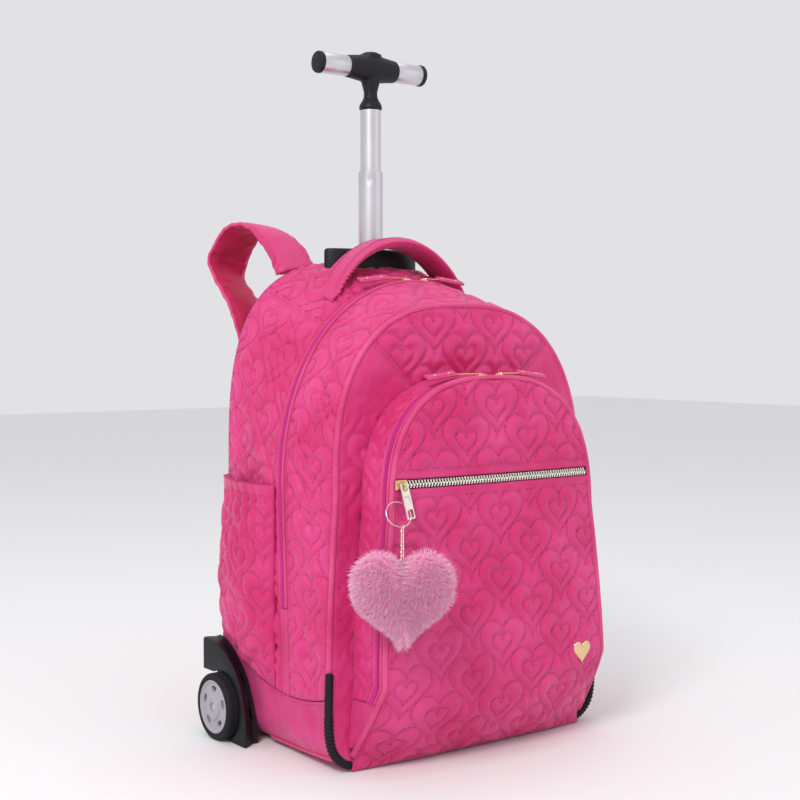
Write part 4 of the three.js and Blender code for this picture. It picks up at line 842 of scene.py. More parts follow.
front_z = panel_heights(front_arch, front_arch["base"] + 0.4, front_arch["crown"] - 0.6, 5.0, 2.2)
front_columns = divisions(2 * bag_half, 2.2)
front_share = np.linspace(-1, 1, front_columns)
front_grid = np.empty((len(front_z), front_columns, 3))
front_grid[..., 0] = half_at(front_arch, front_z)[:, None] * front_share[None]
front_grid[..., 2] = front_z[:, None]
front_rise = np.clip((front_z - pocket_height) / (front_arch["crown"] - pocket_height), 0, 1)
front_bulge = panel_bulge * np.sin(math.pi * front_rise)[:, None] * (1 - front_share ** 2)[None]
front_depth = depth_at(arches["front"], front_z) - quilt_wall / 2
front_grid[..., 1] = front_depth[:, None] - front_bulge
seam_run = np.array(front_seam_high) - np.array(front_seam_low)
seam_side = (np.abs(front_grid[..., 0]) - front_seam_low[0]) * seam_run[1]
seam_side = (seam_side - (front_grid[..., 2] - front_seam_low[1]) * seam_run[0]) / np.linalg.norm(seam_run)
front_keep = np.clip(0.5 - seam_side / 1.6, 0, 1)
side_quilting = 0.7 * np.clip((front_seam_low[1] - 12 - front_grid[..., 2]) / 30, 0, 1)
front_keep = np.maximum(front_keep, side_quilting)
front_edge = np.minimum((front_arch["crown"] - front_z)[:, None] * 0.6,
                        half_at(front_arch, front_z)[:, None] * (1 - np.abs(front_share))[None])
front_edge = np.minimum(front_edge, np.abs(seam_side))
front_slack = 0.8 * soft_noise(front_grid[..., 0], front_grid[..., 2], 26, 41) * (1 - front_keep)
front_outer, front_channel = quilted(front_grid, front_grid[..., 0], front_grid[..., 2] - 12, front_edge,
                                     keep=front_keep, creases=front_slack, face=-1)
front_inner = front_grid + grid_normals(front_grid) * quilt_wall
front_cloth = sewn_panel("front_panel_cloth", front_outer, front_inner, quilt_cloth,
                         front_grid[..., [0, 2]], front_channel)
dress(front_cloth, "front_panel")


def front_spot(x, height):
    half = np.maximum(half_at(front_arch, height), 1.0)
    rows = np.interp(height, front_z, np.arange(len(front_z)))
    return rows, (np.asarray(x) / half + 1) / 2 * (front_columns - 1)


def inside_front(x, height):
    z = height + 12
    beyond = (np.abs(x) - front_seam_low[0]) * seam_run[1] - (z - front_seam_low[1]) * seam_run[0]
    upper = (z > pocket_height - 10) & (beyond < -120)
    side = (z > 96) & (z < front_seam_low[1] - 20) & (np.abs(x) > 118)
    return (upper | side) & (np.abs(x) < half_at(front_arch, z) - 5)


def raised_front_spot(x, height):
    return front_spot(x, height + 12)


quilt_stitches(front_outer, raised_front_spot, inside_front, -1, (-160, 160), (60, 420))
for side in (-1, 1):
    for offset in (-2.4, 2.4):
        steps = np.linspace(-0.1, 1.0, 40)
        away = np.array([seam_run[1], -seam_run[0]]) / np.linalg.norm(seam_run) * offset
        x = side * (front_seam_low[0] + seam_run[0] * steps + away[0])
        seam_along(front_outer, *front_spot(x, front_seam_low[1] + seam_run[1] * steps + away[1]), face=-1)


# Front pocket: a quilted face in two pieces with a metal zip between them, crowned between its
# piped edges and rolled under at the foot.
pocket_arch = {"foot": 132.0, "waist": 132.0 * 0.91, "spring": 355.0 * 0.648, "crown": pocket_height,
               "power": 2.6, "corner": 84.0, "base": 0.0}
pocket_knee = 84.0
pocket_foot = 12.0
pocket_front = bag_front - 45.0
pocket_toe = bag_front - quilt_wall
pocket_lean = 11.0
pocket_bulge = 5.0
pocket_flare = 8.0
face_inset = 1.9
zip_height = 262.0
zip_half = 4.0
badge_place = (101.0, 86.0)


def pocket_edge(z):
    z = np.asarray(z, float)
    above = pocket_front + pocket_lean * (z - pocket_knee) / (pocket_height - pocket_knee)
    share = np.clip((pocket_knee - z) / (pocket_knee - pocket_foot), 0, None)
    below = pocket_front + (pocket_toe - pocket_front) * share ** 1.15
    return np.where(z >= pocket_knee, above, below)


def pocket_half(z, inset=0.0):
    z = np.asarray(z, float)
    flare = pocket_arch["foot"] + pocket_flare * (pocket_knee - z) / (pocket_knee - pocket_foot) - inset
    return np.where(z >= pocket_knee, half_at(inset_arch(pocket_arch, inset), z), flare)


def face_depth(share, z):
    edge = pocket_edge(np.maximum(z, pocket_foot)) - quilt_wall / 2
    fold = np.clip(1 - z / pocket_knee, 0, 1)
    middle = pocket_front - pocket_bulge + (pocket_toe - 2 - pocket_front + pocket_bulge) * fold ** 2.4
    upright = edge - pocket_bulge * np.sin(math.pi * np.minimum(z, pocket_height) / (pocket_height * 1.12))
    centre = np.where(z < pocket_knee, np.minimum(edge, middle), np.minimum(upright, edge))
    return centre + (edge - centre) * np.abs(share) ** 3


def face_grid(heights, columns):
    share, z = np.meshgrid(np.linspace(-1, 1, columns), heights)
    x = pocket_half(z, face_inset) * share
    return np.stack([x, face_depth(share, z), z], axis=-1)


def pocket_face(name, heights, zip_at_top, seed):
    columns = divisions(2 * pocket_arch["foot"], cloth_pitch)
    grid = face_grid(heights, columns)
    middle = grid[:, columns // 2]
    run = distances(middle)
    zip_gap = np.abs(heights - (zip_height - zip_half if zip_at_top else zip_height + zip_half))[:, None]
    half = pocket_half(heights, face_inset)[:, None]
    side_gap = half - np.abs(grid[..., 0])
    far_gap = np.abs(heights - (heights[0] if zip_at_top else heights[-1]))[:, None] + 0 * side_gap
    keep = np.clip((zip_gap - 6.5) / 1.4, 0, 1) + 0 * side_gap
    edge = np.minimum(np.minimum(side_gap, far_gap + (0 if zip_at_top else 2)), zip_gap + 0.6)
    edge = np.minimum(edge, np.abs(zip_gap - 6.2) + 0.4)
    from_badge = np.hypot(grid[..., 0] - badge_place[0], grid[..., 2] - badge_place[1])
    keep = keep * np.clip((from_badge - 11) / 5, 0, 1)
    u, v = grid[..., 0], run[:, None] + 0 * side_gap
    slack = 0.7 * soft_noise(u, v, 60, seed)
    outer, channel = quilted(grid, u, v, edge, keep=keep, creases=slack, face=-1)
    inner = grid + grid_normals(grid) * quilt_wall
    cloth_piece = sewn_panel(name + "_cloth", outer, inner, quilt_cloth, np.stack([u, v], axis=-1), channel)
    dress(cloth_piece, name)

    def spot(x, along):
        z = np.interp(along, run, heights)
        rows = np.interp(along, run, np.arange(len(run)))
        return rows, (np.asarray(x) / pocket_half(z, face_inset) + 1) / 2 * (columns - 1)

    def inside(x, along):
        z = np.interp(along, run, heights)
        clear = np.abs(z - (zip_height - zip_half if zip_at_top else zip_height + zip_half)) > 9
        clear &= (along > 3 if zip_at_top else along < run[-1] - 4)
        clear &= np.hypot(x - badge_place[0], z - badge_place[1]) > 16
        return clear & (along > 0) & (along < run[-1]) & (np.abs(x) < pocket_half(z, face_inset) - 4)

    quilt_stitches(outer, spot, inside, -1, (-135, 135), (0, run[-1]))
    row = np.interp(zip_height - zip_half - 8.6 if zip_at_top else zip_height + zip_half + 8.6,
                    heights, np.arange(len(heights)))
    seam_along(outer, np.full(200, row), np.linspace(3, columns - 4, 200), face=-1)
    rows = np.linspace(3, len(heights) - 4, 300)
    for sign in (-1, 1):
        z = np.interp(rows, np.arange(len(heights)), heights)
        columns_at = (1 + sign * (1 - hem_gap / pocket_half(z, face_inset))) / 2 * (columns - 1)
        seam_along(outer, rows, columns_at, face=-1)


lower_heights = np.concatenate([np.linspace(1, 60, 40, endpoint=False),
                                np.linspace(60, zip_height - zip_half - 0.3, 117)])
pocket_face("pocket_face_lower", lower_heights, True, 51)
face_arch = inset_arch(pocket_arch, face_inset)
face_line = arch_line(face_arch, face_arch["spring"] - 1)
face_line = face_line[:len(face_line) // 2 + 1]
face_line = even(face_line[face_line[:, 1] > zip_height + zip_half + 0.3], 97)
upper_heights = np.minimum(face_line[:, 1], pocket_height - face_inset - 0.5)
upper_heights = np.unique(upper_heights)
upper_heights[0] = zip_height + zip_half + 0.3
upper_heights = upper_heights[:(len(upper_heights) - 1) // 4 * 4 + 1]
pocket_face("pocket_face_upper", upper_heights, False, 52)


# Pocket gusset and its zip: a narrow quilted wall behind a coil zip, over the pocket's arch.
def pocket_line(low):
    """x and z over the pocket's arch, from the left foot to the right one."""
    z = np.linspace(low, pocket_knee, 16)[:-1]
    over = arch_line(pocket_arch, pocket_knee)
    left = np.stack([-pocket_half(z), z], axis=1)
    return np.concatenate([left, over, left[::-1] * [-1, 1]])


def pocket_band(first, second, first_grow, second_grow, rows, columns, low):
    line = even(pocket_line(low), columns)
    way = np.gradient(line, axis=0)
    way = np.stack([-way[:, 1], way[:, 0]], axis=1) / np.linalg.norm(way, axis=1, keepdims=True)
    grid = np.empty((rows, columns, 3))
    for i in range(rows):
        share = i / (rows - 1)
        grow = first_grow + (second_grow - first_grow) * share
        out = line + way * grow * [1, 0.5]
        depth = first(line[:, 1]) + (second(line[:, 1]) - first(line[:, 1])) * share
        grid[i] = np.stack([out[:, 0], depth, out[:, 1]], axis=1)
    return grid


pocket_draft = 3.0
pocket_zip_low = 66.3
zip_offset = 3.6


def pocket_back(z):
    return depth_at(arches["front"], z) - quilt_wall / 2 - 1.5


def zip_front(z):
    return pocket_edge(z) + zip_offset


def zip_rear(z):
    return zip_front(z) + zip_tape


gusset_width = float(np.mean(pocket_back(200) - zip_rear(200)))
gusset_length = run_length(pocket_line(pocket_zip_low))
gusset_rows, gusset_columns = divisions(gusset_width, cloth_pitch), divisions(gusset_length, cloth_pitch)
gusset_grid = pocket_band(pocket_back, lambda z: zip_rear(z) + 0.3, pocket_draft, 0,
                          gusset_rows, gusset_columns, pocket_zip_low)
gusset_across, gusset_along = np.meshgrid(np.linspace(0, gusset_width, gusset_rows),
                                          np.linspace(0, gusset_length, gusset_columns), indexing="ij")
gusset_foot = np.minimum(gusset_along, gusset_length - gusset_along)
gusset_edge = np.minimum(np.minimum(gusset_across, gusset_width - gusset_across), gusset_foot)
gusset_outer, gusset_channel = quilted(gusset_grid, gusset_across + 20, gusset_foot, gusset_edge)
gusset_inner = gusset_grid - grid_normals(gusset_grid) * 2.0
gusset_cloth = sewn_panel("pocket_gusset_cloth", gusset_outer, gusset_inner, quilt_cloth,
                          np.stack([gusset_across, gusset_foot], axis=-1), gusset_channel)
dress(gusset_cloth, "pocket_gusset")
for share in (0.1, 0.9):
    seam_along(gusset_outer, np.full(400, share * (gusset_rows - 1)), np.linspace(2, gusset_columns - 3, 400))


# Side bottle pockets: quilted pouches, gathered below a plain elastic hem.
pouch_top_height = 256.0
pouch_dip = 5.0
pouch_bulge = 19.0
pouch_mouth = 13.0
pouch_hem = 12.0
pouch_gathers = 7
pouch_rear = bag_back - 1.5
pouch_seat = 0.6


def rear_share(y, z):
    """How far a place on the side lies from the back seam to the main zip."""
    return np.clip((bag_back - y) / (bag_back - depth_at(arches["zip"], z) - zip_edge), 0, 1)


def side_surface(y, z):
    """Half the bag's width at a depth and height, between the back seam and the zip."""
    share = rear_share(y, z)
    back_side = half_at(arch_between(arches["back"], arches["back"], 0), z)
    zip_side = half_at(arch_between(arches["zip"], arches["zip"], 0), z)
    return back_side + (zip_side - back_side) * share


pouch_front = float(depth_at(arches["zip"], pouch_top_height - pouch_dip)) + zip_edge + 3.0
pouch_width = pouch_rear - pouch_front
pouch_rows, pouch_columns = divisions(190, 1.9), divisions(pouch_width * 1.15, 1.7)
pouch_across, pouch_up = np.meshgrid(np.linspace(0, 1, pouch_columns), np.linspace(0, 1, pouch_rows))
pouch_y = pouch_rear + (pouch_front - pouch_rear) * pouch_across
pouch_top = pouch_top_height - pouch_dip * (1 - (pouch_y - bag_front) / bag_depth)
pouch_foot = above_seam(pouch_y) + 2
pouch_z = pouch_foot + (pouch_top - pouch_foot) * pouch_up
fullness = np.clip(np.sin(math.pi * pouch_across), 0, 1) ** 0.6
belly = np.sin(math.pi * np.minimum(1, pouch_up * 0.62 + 0.12)) ** 0.9 * np.minimum(1, pouch_up * 6)
mouth = pouch_up ** 4 * pouch_mouth / pouch_bulge
pouch_out = pouch_bulge * fullness * (belly + (mouth - belly) * pouch_up ** 4)
hem_line = 1 - pouch_hem / (pouch_top - pouch_foot)
below_hem = np.clip((hem_line - pouch_up) * 6, 0, 1)
gather_reach = np.exp(-np.clip(hem_line - pouch_up, 0, 1) / 0.13)
gather_drift = 2.0 * soft_noise(pouch_across * 9, 0, 2, 3)
gathers = 2.0 * np.sin(2 * math.pi * pouch_gathers * pouch_across + gather_drift)
gathers = gathers + 1.1 * soft_noise(pouch_across * pouch_width, pouch_up * 30, 5, 61)
pouch_out = pouch_out + gathers * gather_reach * fullness * np.where(pouch_up < hem_line, 1, 0.35)
pouch_grid = np.stack([side_surface(pouch_y, pouch_z) + pouch_seat + pouch_out, pouch_y, pouch_z], axis=-1)
pouch_u = pouch_across * pouch_width * 1.1
pouch_v = (pouch_z - pouch_foot)
pouch_edge = np.minimum(np.minimum(pouch_across, 1 - pouch_across) * pouch_width, pouch_v)
pouch_keep = np.clip((hem_line - pouch_up) * 90, 0, 1)
pouch_edge = np.minimum(pouch_edge, np.abs(hem_line - pouch_up) * 190 + 0.3)
pouch_outer, pouch_channel = quilted(pouch_grid, pouch_u + 8, pouch_v + 10, pouch_edge, keep=pouch_keep,
                                     creases=0.6 * soft_noise(pouch_u, pouch_v * 0.4, 14, 63) * below_hem)
pouch_face = 1 if grid_normals(pouch_grid)[..., 0].mean() > 0 else -1
if pouch_face < 0:
    pouch_outer = pouch_grid - (pouch_outer - pouch_grid)
pouch_lift = grid_normals(pouch_grid) * pouch_face
pouch_outer = pouch_outer + pouch_lift * (1.4 + 0.8 * (1 - pouch_keep))[..., None]
pouch_inner = pouch_grid
for name, side in (("left", -1), ("right", 1)):
    mirror = np.array([side, 1, 1])
    pouch_cloth = sewn_panel(f"side_pocket_{name}_cloth", pouch_outer * mirror, pouch_inner * mirror,
                             quilt_cloth, np.stack([pouch_u, pouch_v], axis=-1), pouch_channel,
                             lining=lining_cloth)
    dress(pouch_cloth, f"side_pocket_{name}")

    def pouch_spot(u, v):
        rows_at = np.asarray(v) / 187.0 * (pouch_rows - 1)
        return rows_at, np.asarray(u) / (pouch_width * 1.1) * (pouch_columns - 1)

    def inside_pouch(u, v):
        return (u > 5) & (u < pouch_width * 1.1 - 5) & (v > 4) & (v < 170)

    quilt_stitches(pouch_outer * mirror, lambda u, v: pouch_spot(u - 8, v - 10),
                   lambda u, v: inside_pouch(u - 8, v - 10), pouch_face * side, (0, 130), (0, 200))
    hem_row = float(np.mean(hem_line)) * (pouch_rows - 1)
    for offset in (-2.0, 1.5):
        seam_along(pouch_outer * mirror, np.full(90, hem_row + offset), np.linspace(2, pouch_columns - 3, 90),
                   face=pouch_face * side)


# Swept and turned pieces: a round section carried along a line, and an outline turned about a
# line, both with their own cloth coordinates.
def curve_through(points, count):
    """A smooth line through points, closer where they bend, count points long."""
    points = np.asarray(points, float)
    full = np.concatenate([[2 * points[0] - points[1]], points, [2 * points[-1] - points[-2]]])
    places = np.linspace(0, len(points) - 1, count)
    first = np.minimum(places.astype(int), len(points) - 2)
    line = np.empty((count, points.shape[1]))
    for k, (i, t) in enumerate(zip(first, places - first)):
        p = full[i:i + 4]
        steps = np.maximum(np.linalg.norm(np.diff(p, axis=0), axis=1), 1e-6)
        knots = np.concatenate([[0], np.cumsum(steps ** 0.5)])
        at = knots[1] + (knots[2] - knots[1]) * t
        low = [p[j] + (p[j + 1] - p[j]) * (at - knots[j]) / (knots[j + 1] - knots[j]) for j in range(3)]
        mid = [low[j] + (low[j + 1] - low[j]) * (at - knots[j]) / (knots[j + 2] - knots[j]) for j in range(2)]
        line[k] = mid[0] + (mid[1] - mid[0]) * (at - knots[1]) / (knots[2] - knots[1])
    return line


def frames_along(line, closed=False):
    """Two directions across a line at each point, turning as little as they can."""
    way = np.roll(line, -1, axis=0) - np.roll(line, 1, axis=0) if closed else np.gradient(line, axis=0)
    way = way / np.maximum(np.linalg.norm(way, axis=1, keepdims=True), 1e-9)
    start = np.array([0, 0, 1.0]) if abs(way[0][2]) < 0.9 else np.array([0, 1.0, 0])
    first = []
    for k in range(len(line)):
        start = start - way[k] * start.dot(way[k])
        start = start / np.linalg.norm(start)
        first.append(start)
    first = np.array(first)
    return first, np.cross(way, first)


def ring_faces(rings, sides, closed=False):
    """Faces between rings of points; the first and last ring are filled, or joined when closed."""
    faces = []
    for i in range(rings if closed else rings - 1):
        near, far = i * sides, (i + 1) % rings * sides
        for j in range(sides):
            after = (j + 1) % sides
            faces.append([near + j, near + after, far + after, far + j])
    if not closed:
        faces.append(list(range(sides))[::-1])
        faces.append([(rings - 1) * sides + j for j in range(sides)])
    return faces


def tube_parts(line, radius, sides, closed=False):
    """Points, faces and cloth coordinates of a round cord; radius may be one for each point."""
    line = np.asarray(line, float)
    first, second = frames_along(line, closed)
    radius = np.broadcast_to(np.asarray(radius, float), (len(line),))
    run = distances(line)
    angle = full_turn(sides)
    spokes = first[:, None] * np.cos(angle)[:, None] + second[:, None] * np.sin(angle)[:, None]
    points = (line[:, None] + radius[:, None, None] * spokes).reshape(-1, 3)
    around = np.broadcast_to(angle * radius.mean(), (len(line), sides))
    uv = np.stack([around, np.broadcast_to(run[:, None], (len(line), sides))], axis=-1).reshape(-1, 2)
    return points, ring_faces(len(line), sides, closed), uv


def cords(name, runs, paint):
    """One piece from several cords, each a row of line, radius, sides and closed."""
    points, faces, uv = [], [], []
    for run in runs:
        start = sum(map(len, points))
        some, more, place = tube_parts(run["line"], run["radius"], run["sides"], run.get("closed", False))
        points.append(some)
        faces += [[start + index for index in face] for face in more]
        uv.append(place)
    return solid_mesh(name, np.concatenate(points), faces, paint, np.concatenate(uv))


def turned_parts(outline, sides, axis, centre, closed=False):
    """Points and faces of an outline of radius and distance, turned about an axis of 0, 1 or 2."""
    outline = np.asarray(outline, float)
    angle = full_turn(sides)
    other = [k for k in range(3) if k != axis]
    points = np.zeros((len(outline), sides, 3))
    points[..., axis] = outline[:, 1, None]
    points[..., other[0]] = outline[:, 0, None] * np.cos(angle)[None]
    points[..., other[1]] = outline[:, 0, None] * np.sin(angle)[None]
    return points.reshape(-1, 3) + np.asarray(centre, float), ring_faces(len(outline), sides, closed)


def turned(name, outline, sides, axis, centre, paint, closed=False, side=1):
    """One turned piece; side is -1 where the outline's distances run the other way."""
    outline = [(radius, side * distance) for radius, distance in outline]
    points, faces = turned_parts(outline, sides, axis, centre, closed)
    made = solid_mesh(name, points, faces, paint, points[:, [(axis + 1) % 3, axis]])
    made.data.set_sharp_from_angle(angle=math.radians(32))
    return made


def rounded_block(size, centre, bevel, segments=2):
    """Points and faces of a box with rounded edges."""
    block = bmesh.new()
    bmesh.ops.create_cube(block, size=1)
    bmesh.ops.scale(block, vec=size, verts=block.verts)
    bmesh.ops.bevel(block, geom=block.edges, offset=bevel, segments=segments, affect="EDGES", profile=0.5)
    block.verts.ensure_lookup_table()
    points = np.array([list(v.co) for v in block.verts]) + np.asarray(centre, float)
    faces = [[v.index for v in face.verts] for face in block.faces]
    block.free()
    return points, faces


def gathered(name, parts, paint, crease=32):
    """One piece from several lots of points and faces."""
    points, faces = [], []
    for some, more in parts:
        start = sum(map(len, points))
        points.append(np.asarray(some))
        faces += [[start + index for index in face] for face in more]
    points = np.concatenate(points)
    made = solid_mesh(name, points, faces, paint, points[:, [0, 2]])
    made.data.set_sharp_from_angle(angle=math.radians(crease))
    return made


def carved(piece, parts, crease=32):
    """piece with other closed shapes cut out of it."""
    cutter = gathered("cutter", parts, piece.data.materials[0])
    change = piece.modifiers.new("carve", "BOOLEAN")
    change.operation = "DIFFERENCE"
    change.object = cutter
    change.solver = "EXACT"
    made = grown(piece, piece.name)
    bpy.data.objects.remove(cutter)
    made.data.set_sharp_from_angle(angle=math.radians(crease))
    return made


def moulded(name, base, rough, bump, grain=900.0, metal=0.0, brushed=None):
    """Plastic, rubber or metal with a fine grain; brushed stretches the grain along an axis."""
    paint = bpy.data.materials.new(name)
    paint.use_nodes = True
    tree = paint.node_tree
    shader = tree.nodes["Principled BSDF"]
    place = tree.nodes.new("ShaderNodeTexCoord")
    stretch = tree.nodes.new("ShaderNodeMapping")
    stretch.inputs["Scale"].default_value = brushed or (1, 1, 1)
    tree.links.new(place.outputs["Object"], stretch.inputs["Vector"])
    noise = tree.nodes.new("ShaderNodeTexNoise")
    noise.inputs["Scale"].default_value = grain
    noise.inputs["Detail"].default_value = 3
    tree.links.new(stretch.outputs[0], noise.inputs["Vector"])
    wear = tree.nodes.new("ShaderNodeTexNoise")
    wear.inputs["Scale"].default_value = 24
    wear.inputs["Detail"].default_value = 4
    tree.links.new(place.outputs["Object"], wear.inputs["Vector"])
    tint = tree.nodes.new("ShaderNodeMix")
    tint.data_type = "RGBA"
    tint.inputs["A"].default_value = tuple(v * 0.88 for v in base[:3]) + (1,)
    tint.inputs["B"].default_value = tuple(min(1, v * 1.1) for v in base[:3]) + (1,)
    tree.links.new(wear.outputs[0], tint.inputs["Factor"])
    tree.links.new(tint.outputs["Result"], shader.inputs["Base Color"])
    roughness = maths(tree, "ADD", maths(tree, "MULTIPLY", wear.outputs[0], 0.16), rough - 0.08)
    tree.links.new(roughness, shader.inputs["Roughness"])
    relief = tree.nodes.new("ShaderNodeBump")
    relief.inputs["Strength"].default_value = 0.5
    relief.inputs["Distance"].default_value = bump * MM
    tree.links.new(noise.outputs[0], relief.inputs["Height"])
    tree.links.new(relief.outputs["Normal"], shader.inputs["Normal"])
    shader.inputs["Metallic"].default_value = metal
    shader.inputs["Specular IOR Level"].default_value = 0.5 if metal else 0.32
    return paint


black_plastic = moulded("black_plastic", linear(20, 18, 22), 0.5, 0.03)
button_plastic = moulded("button_plastic", linear(48, 45, 50), 0.34, 0.01)
guard_rubber = moulded("guard_rubber", linear(12, 11, 14), 0.6, 0.05)
tyre_rubber = moulded("tyre_rubber", linear(20, 19, 22), 0.7, 0.06)
hub_plastic = moulded("hub_plastic", linear(168, 163, 172), 0.4, 0.02)
aluminium = moulded("satin_aluminium", linear(214, 211, 217), 0.4, 0.015, 300.0, 1.0, (6, 6, 0.2))
pale_gold = moulded("pale_gold", linear(236, 205, 158), 0.22, 0.01, metal=1.0)
silver = moulded("silver", linear(228, 220, 210), 0.2, 0.01, metal=1.0)


# Piping: a thick cord in a cloth cover, round the front of the bag and round the pocket.
piping_radius = 2.7
front_full = arch_between(arches["front"], arches["front"], 0)
front_piping = even(arch_line(front_full, 91.0), 340)
piping_x, piping_z = front_piping.T
front_piping = np.stack([piping_x, depth_at(arches["front"], piping_z), piping_z], axis=1)
piping_wave = 1 + 0.03 * soft_noise(np.arange(340), 0, 5, 71)
front_run = {"line": front_piping, "radius": piping_radius * piping_wave, "sides": 12}
dress(cords("body_piping_cloth", [front_run], piping_cloth), "body_piping")

pocket_route = pocket_line(16.0)
pocket_route = even(pocket_route, 330)
pocket_route = np.stack([pocket_route[:, 0], pocket_edge(pocket_route[:, 1]), pocket_route[:, 1]], axis=1)
pocket_run = {"line": pocket_route, "radius": piping_radius * piping_wave[:330], "sides": 12}
dress(cords("pocket_piping_cloth", [pocket_run], piping_cloth), "pocket_piping")
foot_runs = [{"line": line, "radius": 1.7, "sides": 8} for line in foot_seams]
foot_cord = cords("lower_panel_piping", foot_runs, piping_cloth)
add_piece(foot_cord)


# Rubber guards round the lower front corners: plain above, ringed with ribs below, running in
# under the bag's front edge.
guard_radius = 4.0
guard_top = 92.0
guard_ribs = 26
guard_plain = 0.3
for name, side in (("left", -1), ("right", 1)):
    turn = np.linspace(0, math.pi / 2, 4)[1:]
    corner_x = bag_half - bag_corner + bag_corner * np.cos(turn)
    corner_z = guard_radius + 0.4 + (bag_corner - guard_radius) * (1 - np.sin(turn))
    route = [(bag_half, guard_top), (bag_half + 1, (bag_corner + guard_top) / 2), (bag_half, bag_corner)]
    route += list(zip(corner_x, corner_z)) + [(corner_x[-1] - 26, corner_z[-1])]
    line = np.array([(side * x, bag_front, z) for x, z in route])
    line = even(curve_through(line, 200), 420)
    share = np.linspace(0, 1, 420)
    taper = np.where(share > 0.85, 1 - (share - 0.85) * 2.4, 1)
    ribs = 0.5 + 0.5 * np.cos(2 * math.pi * guard_ribs * (share - guard_plain) / (1 - guard_plain))
    groove = np.where(share > guard_plain, 0.8 * (1 - ribs) - 0.5, 0.2)
    tip = np.clip(share / 0.01, 0.8, 1) * np.clip((1 - share) / 0.02, 0.5, 1)
    guard_run = {"line": line, "radius": (guard_radius * taper - groove) * tip, "sides": 16}
    guard = cords(f"corner_guard_{name}_rubber", [guard_run], guard_rubber)
    dress(guard, f"corner_guard_{name}")


# Coil zips: a tape folded back on itself beside a moulded coil. Its front edge is a plump roll
# of the bag's own cloth, its rear edge a flat one.
def coil_link():
    turn = full_turn(8)
    line = np.stack([0.32 * np.sin(turn), 2.1 * np.cos(turn), 0.9 + 0.75 * np.sin(turn)], axis=1)
    return cords("coil_link", [{"line": line, "radius": 0.42, "sides": 4, "closed": True}], zip_cloth)


def coil_zip(name, grid, nodes, roll_rows):
    rows, columns = grid.shape[:2]
    normals = grid_normals(grid)
    place = np.abs(np.linspace(-1, 1, rows))[:, None]
    lip = 0.9 * np.exp(-((place - 0.62) / 0.14) ** 2) - 0.5 * np.exp(-(place / 0.2) ** 2)
    outer = grid + normals * lip[..., None]
    inner = grid - normals * 2.0
    run = np.linspace(0, run_length(grid[0]), columns)
    uv = np.stack(np.broadcast_arrays(np.linspace(0, zip_tape, rows)[:, None], run[None]), axis=-1)
    shade = np.clip(np.exp(-((place - 0.3) / 0.09) ** 2), 0, 1) + 0 * run[None]
    tape = sewn_panel(name + "_tape", outer, inner, zip_cloth, uv, shade, coarse=2)
    dress(tape, nodes)
    link = coil_link()
    middle = even(grid[rows // 2], round(run[-1] / 1.5))
    facing = even(np.concatenate([grid[rows // 2], normals[rows // 2]], axis=1), len(middle))[:, 3:]
    coil = set_out(name + "_coil", link, middle, np.gradient(middle, axis=0), facing, zip_coil)
    bpy.data.objects.remove(link)
    add_piece(coil)
    for share, radius in roll_rows:
        row = share * (rows - 1)
        line = grid_spots(grid, np.full(400, row), np.linspace(0, columns - 1.01, 400))
        lift = grid_spots(normals, np.full(400, row), np.linspace(0, columns - 1.01, 400))
        roll_run = {"line": line + lift * radius * 0.35, "radius": radius, "sides": 8}
        roll = cords(name + "_roll", [roll_run], piping_cloth)
        add_piece(roll)


zip_coil = moulded("zip_coil", linear(228, 58, 158), 0.4, 0.0)
main_grid = arch_band(arches["zip"], zip_edge, arches["zip"], -zip_edge, 13, 401, lambda y: 140.3)
coil_zip("main_zipper", main_grid, "main_zipper", [(0.88, 1.7), (0.1, 1.2)])
pocket_grid = pocket_band(zip_rear, zip_front, 0, 0, 13, 321, pocket_zip_low)
coil_zip("pocket_zipper", pocket_grid, "pocket_zipper", [(0.88, 1.6), (0.1, 1.2)])


# Plain cloth below the zips: a strip on each side of the bag, and the pocket's lower corners.
strip_arch = arch_between(arches["zip"], arches["zip"], 0)


def outward_normals(grid, side):
    """The grid's normals, turned to face away from the bag's middle."""
    normals = grid_normals(grid)
    return normals * (1 if normals[..., 0].mean() * side > 0 else -1)


for name, side in (("left", -1), ("right", 1)):
    strip_z, strip_shift = np.meshgrid(np.linspace(0, 1, 25), np.linspace(zip_edge, -zip_edge, 9))
    foot = lower_seam(depth_at(arches["zip"], 80.0) + strip_shift) + 0.3
    strip_z = foot + (140.0 - foot) * strip_z
    strip_y = depth_at(arches["zip"], strip_z) + strip_shift
    strip = np.stack([side * half_at(strip_arch, strip_z), strip_y, strip_z], axis=-1)
    lift = outward_normals(strip, side)
    fold = 1.2 * np.exp(-((np.abs(strip_shift) - 4.6) / 1.3) ** 2) - 0.4 * np.exp(-(strip_shift / 1.2) ** 2)
    strip_cloth = sewn_panel(f"zipper_strip_{name}_cloth", strip + lift * fold[..., None], strip - lift * 2,
                             plain_cloth, np.stack([strip_shift, strip_z], axis=-1), 0 * strip_z)
    dress(strip_cloth, f"zipper_strip_{name}")

    corner_share, corner_z = np.meshgrid(np.linspace(0, 1, 17), np.linspace(66.0, 22.0, 21))
    rear_y = pocket_back(corner_z) - 0.3
    corner_y = rear_y + (zip_front(corner_z) - rear_y) * corner_share
    corner_x = side * (pocket_half(corner_z) + pocket_draft * (1 - corner_share))
    corner = np.stack([corner_x, corner_y, corner_z], axis=-1)
    lift = outward_normals(corner, side)
    slack = 0.7 * soft_noise(corner_y, corner_z, 11, 81)
    corner_cloth = sewn_panel(f"pocket_corner_{name}_cloth", corner + lift * slack[..., None],
                              corner - lift * 2, plain_cloth, np.stack([corner_y, corner_z], axis=-1),
                              0 * corner_z)
    dress(corner_cloth, f"pocket_corner_{name}")


